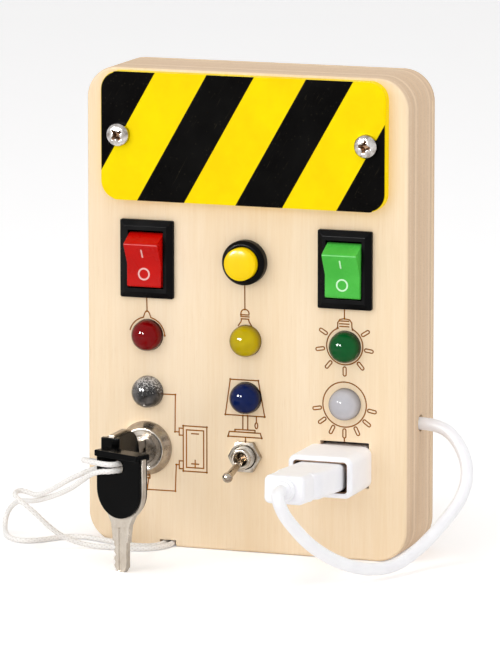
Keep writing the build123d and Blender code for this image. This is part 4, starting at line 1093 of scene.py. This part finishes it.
nodes["body_frame"].material_slots[0].material = plywood_edge


# ---------------------------------------------------------------------------------------------
# Battery cover and its screws
# ---------------------------------------------------------------------------------------------
plate_front = front_y - 3.0
plate_screw_places = (-34.8, 34.4)
plate_hole_clearance = 2.0


def off_screw_holes(x, y, _):
    """Whether a point is on the plate's front and clear of its screw holes."""
    clear = all(abs(x - place) > plate_hole_clearance for place in plate_screw_places)
    return y < plate_front + 0.01 and clear


cover = rim_softened("hazard_plate", "battery_cover", hazard, 0.45, off_screw_holes)
fitted(cover, "board", "hazard_paint", "hazard_plate")


def cross_screw(name, head, height, shank, length, place, material):
    """A domed cross-head screw; its recess has slanted walls."""
    radius = head / 2
    dome = [(radius * math.sin(math.radians(a)), height * (0.42 + 0.58 * math.cos(math.radians(a))))
            for a in (90, 80, 70, 58, 44, 28, 14)]
    profile = eased([(radius, 0.0), dome[0]], 0.1) + dome[1:] + [(0.0, height)]
    point = [(0.0, -length), (shank * 0.15, -length), (shank / 2, shank * 0.6 - length), (shank / 2, 0.0)]
    profile = point + profile
    screw = finished(name, lathed(profile, segments=40), material, place, 50.0)
    recess = bmesh.new()
    reach, half = head * 0.27, head * 0.062
    outline = [
        (reach, half), (half * 1.5, half * 1.5), (half, reach), (-half, reach), (-half * 1.5, half * 1.5),
        (-reach, half), (-reach, -half), (-half * 1.5, -half * 1.5), (-half, -reach), (half, -reach),
        (half * 1.5, -half * 1.5), (reach, -half),
    ]
    rims = [[recess.verts.new((x * share, y * share, w)) for x, y in outline]
            for share, w in ((0.42, height * 0.3), (1.0, height * 0.96), (1.02, height + 0.3))]
    for low, high in zip(rims, rims[1:]):
        bridged(recess, low, high)
    capped(recess, rims[0], rims[-1])
    # The recess walls take the dark steel: painted shade
    cutter = finished("recess", recess, painted_shade_steel, place)
    carve(screw, cutter, "recess")
    settled(screw)
    put_away(cutter)
    return screw


def point_cloud(name, places):
    """A carrier mesh of bare points, from places in millimetres."""
    mesh = bpy.data.meshes.new(name)
    mesh.from_pydata([[value * mm for value in place] for place in places], [], [])
    return mesh


screw_kinds = (
    # node, head diameter and height, shank diameter, length, half turns about x, seed, seats
    ("plate_screws", 6.3, 2.2, 2.9, 10.0, 0, 4,
     [(place, plate_front, 111.3) for place in plate_screw_places]),
    ("back_screws", 5.6, 1.4, 2.9, 12.0, 1, 5,
     [(side * 40.0, 9.9, level) for side in (-1, 1) for level in (5.0, 124.0)]),
    ("circuit_screws", 3.6, 1.2, 1.8, 5.0, 1, 9,
     [(side * 14.0, 0.5, 49.6 + level * 11.0) for side in (-1, 1) for level in (-1, 1)]),
)
for node, head, height, shank, length, turns, seed, seats in screw_kinds:
    one = cross_screw(node + "_one", head, height, shank, length,
                      outwards @ Matrix.Rotation(math.pi * turns, 4, "X"), screw_steel)
    # The screw recesses keep their dark steel, which is painted shade
    screws = grown(node + "_set", screw_set, point_cloud(node + "_seats", seats), Screw=one, Turn=1.2,
                   Seed=seed, Material=screw_steel, Recess=painted_shade_steel)
    put_away(one)
    fitted(screws, "board", "screw_steel", node)


# ---------------------------------------------------------------------------------------------
# Rocker switches
# ---------------------------------------------------------------------------------------------
rocker_slope = 14.33
rocker_tilt = 14.0
rocker_valley = 4.2


def bar_mark(width, height):
    """A flat bar with rounded ends, as a closed outline."""
    half = height / 2 - width / 2
    return arc(0, half, width / 2, 0, 180, 8) + arc(0, -half, width / 2, 180, 360, 8)


mark_sunk = -0.12
mark_proud = 0.035


def raised_mark(shape, outline, hole, place):
    """A thin printed sign on a face, with or without a hole through it."""
    rows = []
    for ring in ([outline, hole] if hole else [outline]):
        rows.append([[shape.verts.new(place @ Vector((x, y, w))) for x, y in ring]
                     for w in (mark_sunk, mark_proud)])
    for base, top in rows:
        bridged(shape, base, top)
    if hole:
        for outer, inner in zip(*rows):
            bridged(shape, outer, inner)
    else:
        for level in rows[0]:
            shape.faces.new(level)


for side, tint, ink, name in ((-1, red_plastic, red_mark, "red"), (1, green_plastic, green_mark, "green")):
    body = f"{name}_rocker"
    housing = softened(f"{name}_rocker_housing", f"{name}_rocker_frame", black_plastic, 0.1)
    fitted(housing, "board", "black_plastic", f"{name}_rocker_housing")
    paddle = softened(body, f"{name}_rocker_paddle", tint, 0.16)
    fitted(paddle, body, f"{name}_plastic", body)
    hinge = (Matrix.Translation((side * column, rocker_row, -1.0))
             @ Matrix.Rotation(math.radians(rocker_tilt), 4, "X"))
    signs = bmesh.new()
    for side_of_hinge, reach, outline, hole in (
        (1, 3.3, bar_mark(0.42, 2.7), None),
        (-1, 2.65, arc(0, 0, 1.68, 0, 352.5, 47), arc(0, 0, 1.25, 0, 352.5, 47)),
    ):
        centre = (0, side_of_hinge * reach, rocker_valley + reach * math.tan(math.radians(rocker_slope)))
        slope = Matrix.Rotation(math.radians(side_of_hinge * rocker_slope), 4, "X")
        place = hinge @ Matrix.Translation(centre) @ slope
        raised_mark(signs, outline, hole, place)
    fitted(finished(f"{name}_rocker_marks", signs, ink), body, f"{name}_plastic")


# ---------------------------------------------------------------------------------------------
# Push button
# ---------------------------------------------------------------------------------------------
collar = finished("button_ring", lathed(eased([
    (4.45, 3.4), (5.1, 3.4), (6.0, 2.5), (6.0, 0.0), (5.1, 0.0), (5.1, -9.5), (1.4, -9.5), (1.4, -8.3),
    (4.45, -8.3),
], 0.22, 4, closed=True), 0, button_row, closed=True, segments=80), black_plastic)
fitted(collar, "board", "black_plastic", "button_collar")
cap_radius = 4.35
cap_dome = [(cap_radius * math.sin(math.radians(a)), 5.35 + 0.85 * math.cos(math.radians(a)))
            for a in (78, 62, 46, 30, 15)]
cap_stem = [(0.0, -10.5), (2.2, -10.5), (2.2, -9.6), (1.3, -9.6), (1.3, -1.6), (cap_radius, -1.6)]
cap_skirt = eased([(cap_radius, -1.55), (cap_radius, 5.45), cap_dome[0]], 0.5, 5)
cap = finished("button_top", lathed(cap_stem + cap_skirt + cap_dome[1:] + [(0.0, 6.2)],
                                    0, button_row, segments=80), yellow_plastic, sharp=50.0)
fitted(cap, "push_button", "yellow_plastic", "button_cap")
coil = from_metres("button_coil", merged_copy("button_spring"), spring_steel, 60.0)
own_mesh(coil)
fitted(coil, "board", "spring_steel", "button_spring")


# ---------------------------------------------------------------------------------------------
# Lamps
# ---------------------------------------------------------------------------------------------
lamp_radius = 4.2
dome_centre = 0.9
dome_steps = 16
lamps = (
    ("red", -column, upper_lamp_row, red_lens, "red_lens"),
    ("yellow", 0.0, upper_lamp_row, yellow_lens, "yellow_lens"),
    ("green", column, upper_lamp_row, green_lens, "green_lens"),
    ("clear", -column, lower_lamp_row, clear_lens, "clear_lens"),
    ("blue", 0.0, lower_lamp_row, blue_lens, "blue_lens"),
    ("grey", column, lower_lamp_row, diffuse_lens, "diffuse_lens"),
)
for name, u, v, tint, slot in lamps:
    angles = [math.pi / 2 * i / dome_steps for i in range(dome_steps + 1)]
    dome = [(lamp_radius * math.cos(a), dome_centre + lamp_radius * math.sin(a)) for a in angles[:-1]]
    foot = eased([(4.7, -4.0), (4.8, -4.0), (4.8, -3.0), (4.2, -3.0), (4.2, 0.9)], 0.08, 2)
    profile = [(0.0, -4.0)] + foot[:-1] + dome + [(0.0, dome_centre + lamp_radius)]
    bulb = finished(f"{name}_lamp_dome", lathed(profile, u, v, segments=72), tint)
    fitted(bulb, "board", slot, f"{name}_lamp")


# ---------------------------------------------------------------------------------------------
# Toggle switch
# ---------------------------------------------------------------------------------------------
corner_slope = 0.5
side_samples = 12
flat_share = 0.97
countersink = 0.3


def chamfered_nut(width, low, high, bore, u, v):
    """A hexagonal nut whose corners are turned down, with a countersunk bore."""
    shape = bmesh.new()
    count = 6 * side_samples
    reach = width / 2 * flat_share
    rows = [[] for _ in range(8)]
    for i in range(count):
        angle = math.tau * i / count
        within = (angle % (math.pi / 3)) - math.pi / 6
        flat = width / 2 / math.cos(within)
        turn = angle + math.pi / 2 - math.pi / 6
        drop = (flat - reach) * corner_slope
        levels = ((bore, low + countersink), (bore + countersink, low), (reach, low), (flat, low + drop),
                  (flat, high - drop), (reach, high), (bore + countersink, high), (bore, high - countersink))
        for row, (radius, w) in zip(rows, levels):
            row.append(shape.verts.new((u + radius * math.cos(turn), v + radius * math.sin(turn), w)))
    for first, second in zip(rows, rows[1:] + rows[:1]):
        bridged(shape, first, second)
    return shape


u, v = toggle_place
nut = finished("toggle_hex_nut", chamfered_nut(8.0, 0.0, 2.0, 3.05, u, v), nickel, sharp=20.0)
fitted(nut, "board", "nickel", "toggle_nut")
bushing = finished("toggle_neck", lathed(eased([
    (1.95, 4.9), (2.45, 4.9), (2.72, 4.55), (2.72, -3.0), (1.8, -3.0), (1.8, 2.5), (1.4, 2.7),
], 0.14, 3, closed=True), u, v, closed=True), nickel)
fitted(bushing, "board", "nickel", "toggle_bushing")
ridge = finished("ridge", lathed([(2.6, 4.3), (2.98, 4.08), (2.6, 3.86)], u, v, closed=True, segments=56),
                 nickel)
thread = grown("toggle_thread", ring_row, Ring=ridge, Count=16, Pitch=0.44 * mm, Material=nickel)
put_away(ridge)
fitted(thread, "board", "nickel")
lever_place = face_place @ Matrix.Translation((u, v, 1.5)) @ Matrix.Rotation(math.radians(13.0), 4, "X")
ball = [(1.7 * math.sin(math.radians(a)), -1.7 * math.cos(math.radians(a))) for a in range(30, 150, 12)]
tip = [(1.4 * math.cos(math.radians(a)), 13.6 + 1.4 * math.sin(math.radians(a))) for a in range(-48, 90, 12)]
stem = [(0.85, 1.9), (0.92, 6.0), (1.0, 10.0), (1.0, 12.3)]
lever_profile = [(0.0, -3.2), (0.7, -3.2), (0.8, -3.1)] + ball + stem + tip + [(0.0, 15.0)]
lever = finished("toggle_stick", lathed(lever_profile, segments=40), lever_steel, lever_place, 50.0)
fitted(lever, "toggle_lever", "nickel", "toggle_lever")


# ---------------------------------------------------------------------------------------------
# Key switch and keys
# ---------------------------------------------------------------------------------------------
u, v = lock_place
bezel = finished("lock_bezel", lathed(
    eased([(3.5, 2.7), (3.78, 2.7), (3.9, 2.98), (5.05, 3.06), (5.2, 3.3), (5.72, 3.3), (5.9, 3.05),
           (5.9, 2.62), (7.3, 0.6), (7.3, 0.0)], 0.1, 3)[:-1]
    + [(7.3, 0.0), (5.9, 0.0), (5.9, -11.5), (3.5, -11.5)], u, v, closed=True, segments=96), lock_chrome)
fitted(bezel, "board", "lock_chrome", "lock_housing")
rotor = softened("lock_rotor", "lock_core", lock_chrome, 0.16)
fitted(rotor, "lock_rotor", "lock_chrome", "lock_rotor")
for prefix, body in (("key", "lock_key"), ("spare_key", "spare_key")):
    blade = softened(f"{prefix}_metal", f"{prefix}_blade", key_nickel, 0.16)
    fitted(blade, body, "key_nickel", f"{prefix}_metal")
    grip = softened(f"{prefix}_cap", f"{prefix}_grip", key_plastic, 0.4, 4)
    fitted(grip, body, "key_plastic", f"{prefix}_cap")


# ---------------------------------------------------------------------------------------------
# Socket and plug
# ---------------------------------------------------------------------------------------------
for node, name, width in (("socket_housing", "socket_case", 0.4), ("plug_housing", "plug_grip", 0.45),
                          ("plug_boss", "plug_collar", 0.35)):
    piece = softened(node, name, white_plastic, width)
    fitted(piece, "usb_plug" if node.startswith("plug") else "board", "white_plastic", node)


# ---------------------------------------------------------------------------------------------
# Pieces that keep their shape
# ---------------------------------------------------------------------------------------------
kept_shapes = {
    black_plastic: ("battery_tray", "circuit_posts", "lock_base", "button_nut", "cable_stop"),
    red_case: ("toggle_body",),
    wrap: ("batteries",),
    contact_nickel: ("battery_contacts", "lamp_legs", "plug_shell"),
    # The socket's shell in its opening is dark steel: painted shade
    painted_shade_steel: ("socket_shell",),
    brass: ("button_terminals", "toggle_terminals", "lock_terminals", "red_rocker_terminals",
            "green_rocker_terminals", "lock_nut"),
    circuit_green: ("circuit_board",),
    resistor_body: ("resistors",),
    white_plastic: ("socket_tongue", "plug_insert"),
    string_white: ("string_knot",),
}
for finish, names in kept_shapes.items():
    for name in names:
        nodes[name].material_slots[0].material = finish


# ---------------------------------------------------------------------------------------------
# Floor, light and backdrop
# ---------------------------------------------------------------------------------------------
floor_lift = 0.24
floor_shape = bmesh.new()
bmesh.ops.create_grid(floor_shape, x_segments=1, y_segments=1, size=3000.0)
floor_white, floor_tree, floor_shader = blank("floor_white", Roughness=0.7, Specular_IOR_Level=0.1)
floor_mottle = noise(floor_tree, object_place(floor_tree), 30.0, 3.0)
floor_tree.links.new(mix_colour(floor_tree, floor_mottle, paint(253, 252, 252), paint(251, 250, 250)),
                     floor_shader.inputs["Base Color"])
floor_shader.inputs["Emission Color"].default_value = (1.0, 1.0, 1.0, 1.0)
floor_glow = maths(floor_tree, "MULTIPLY", seen_rays(floor_tree), floor_lift)
floor_tree.links.new(floor_glow, floor_shader.inputs["Emission Strength"])
floor = finished("floor", floor_shape, floor_white, Matrix.Translation((0, 0, -0.02)))

room_glow = 0.6
world = bpy.data.worlds.new("studio")
bpy.context.scene.world = world
world.use_nodes = True
sky = world.node_tree
backdrop = sky.nodes["Background"]
sky.links.new(between(sky, seen_rays(sky), room_glow, 1.0), backdrop.inputs["Strength"])
backdrop.inputs["Color"].default_value = (1.0, 1.0, 1.0, 1.0)


lamp_distance = 1.2


def softbox(name, azimuth, elevation, size, power, glint=False):
    """A square lamp aimed at the middle of the board. A glint shows only as a gleam on glossy finishes."""
    lamp_data = bpy.data.lights.new(name, "AREA")
    lamp_data.shape = "SQUARE"
    lamp_data.size = size
    lamp_data.energy = power
    lamp = in_scene(name, lamp_data)
    turn, rise = math.radians(azimuth), math.radians(elevation)
    towards = Vector((math.sin(turn) * math.cos(rise), -math.cos(turn) * math.cos(rise), math.sin(rise)))
    lamp.location = Vector((0, 0, 0.06)) + towards * lamp_distance
    lamp.rotation_euler = towards.to_track_quat("Z", "Y").to_euler()
    lamp.visible_glossy = glint
    lamp.visible_diffuse = not glint


softbox("left_box", -38.0, 24.0, 0.6, 1.85)
softbox("right_box", 22.0, 30.0, 0.6, 1.2)
softbox("top_box", -10.0, 70.0, 0.6, 3.3)
softbox("side_fill", 80.0, 22.0, 0.6, 2.0)
softbox("left_glint", -38.0, 21.0, 0.28, 32.0, True)
softbox("middle_glint", -15.0, 21.0, 0.22, 19.0, True)

bpy.context.scene.view_settings.view_transform = "Standard"
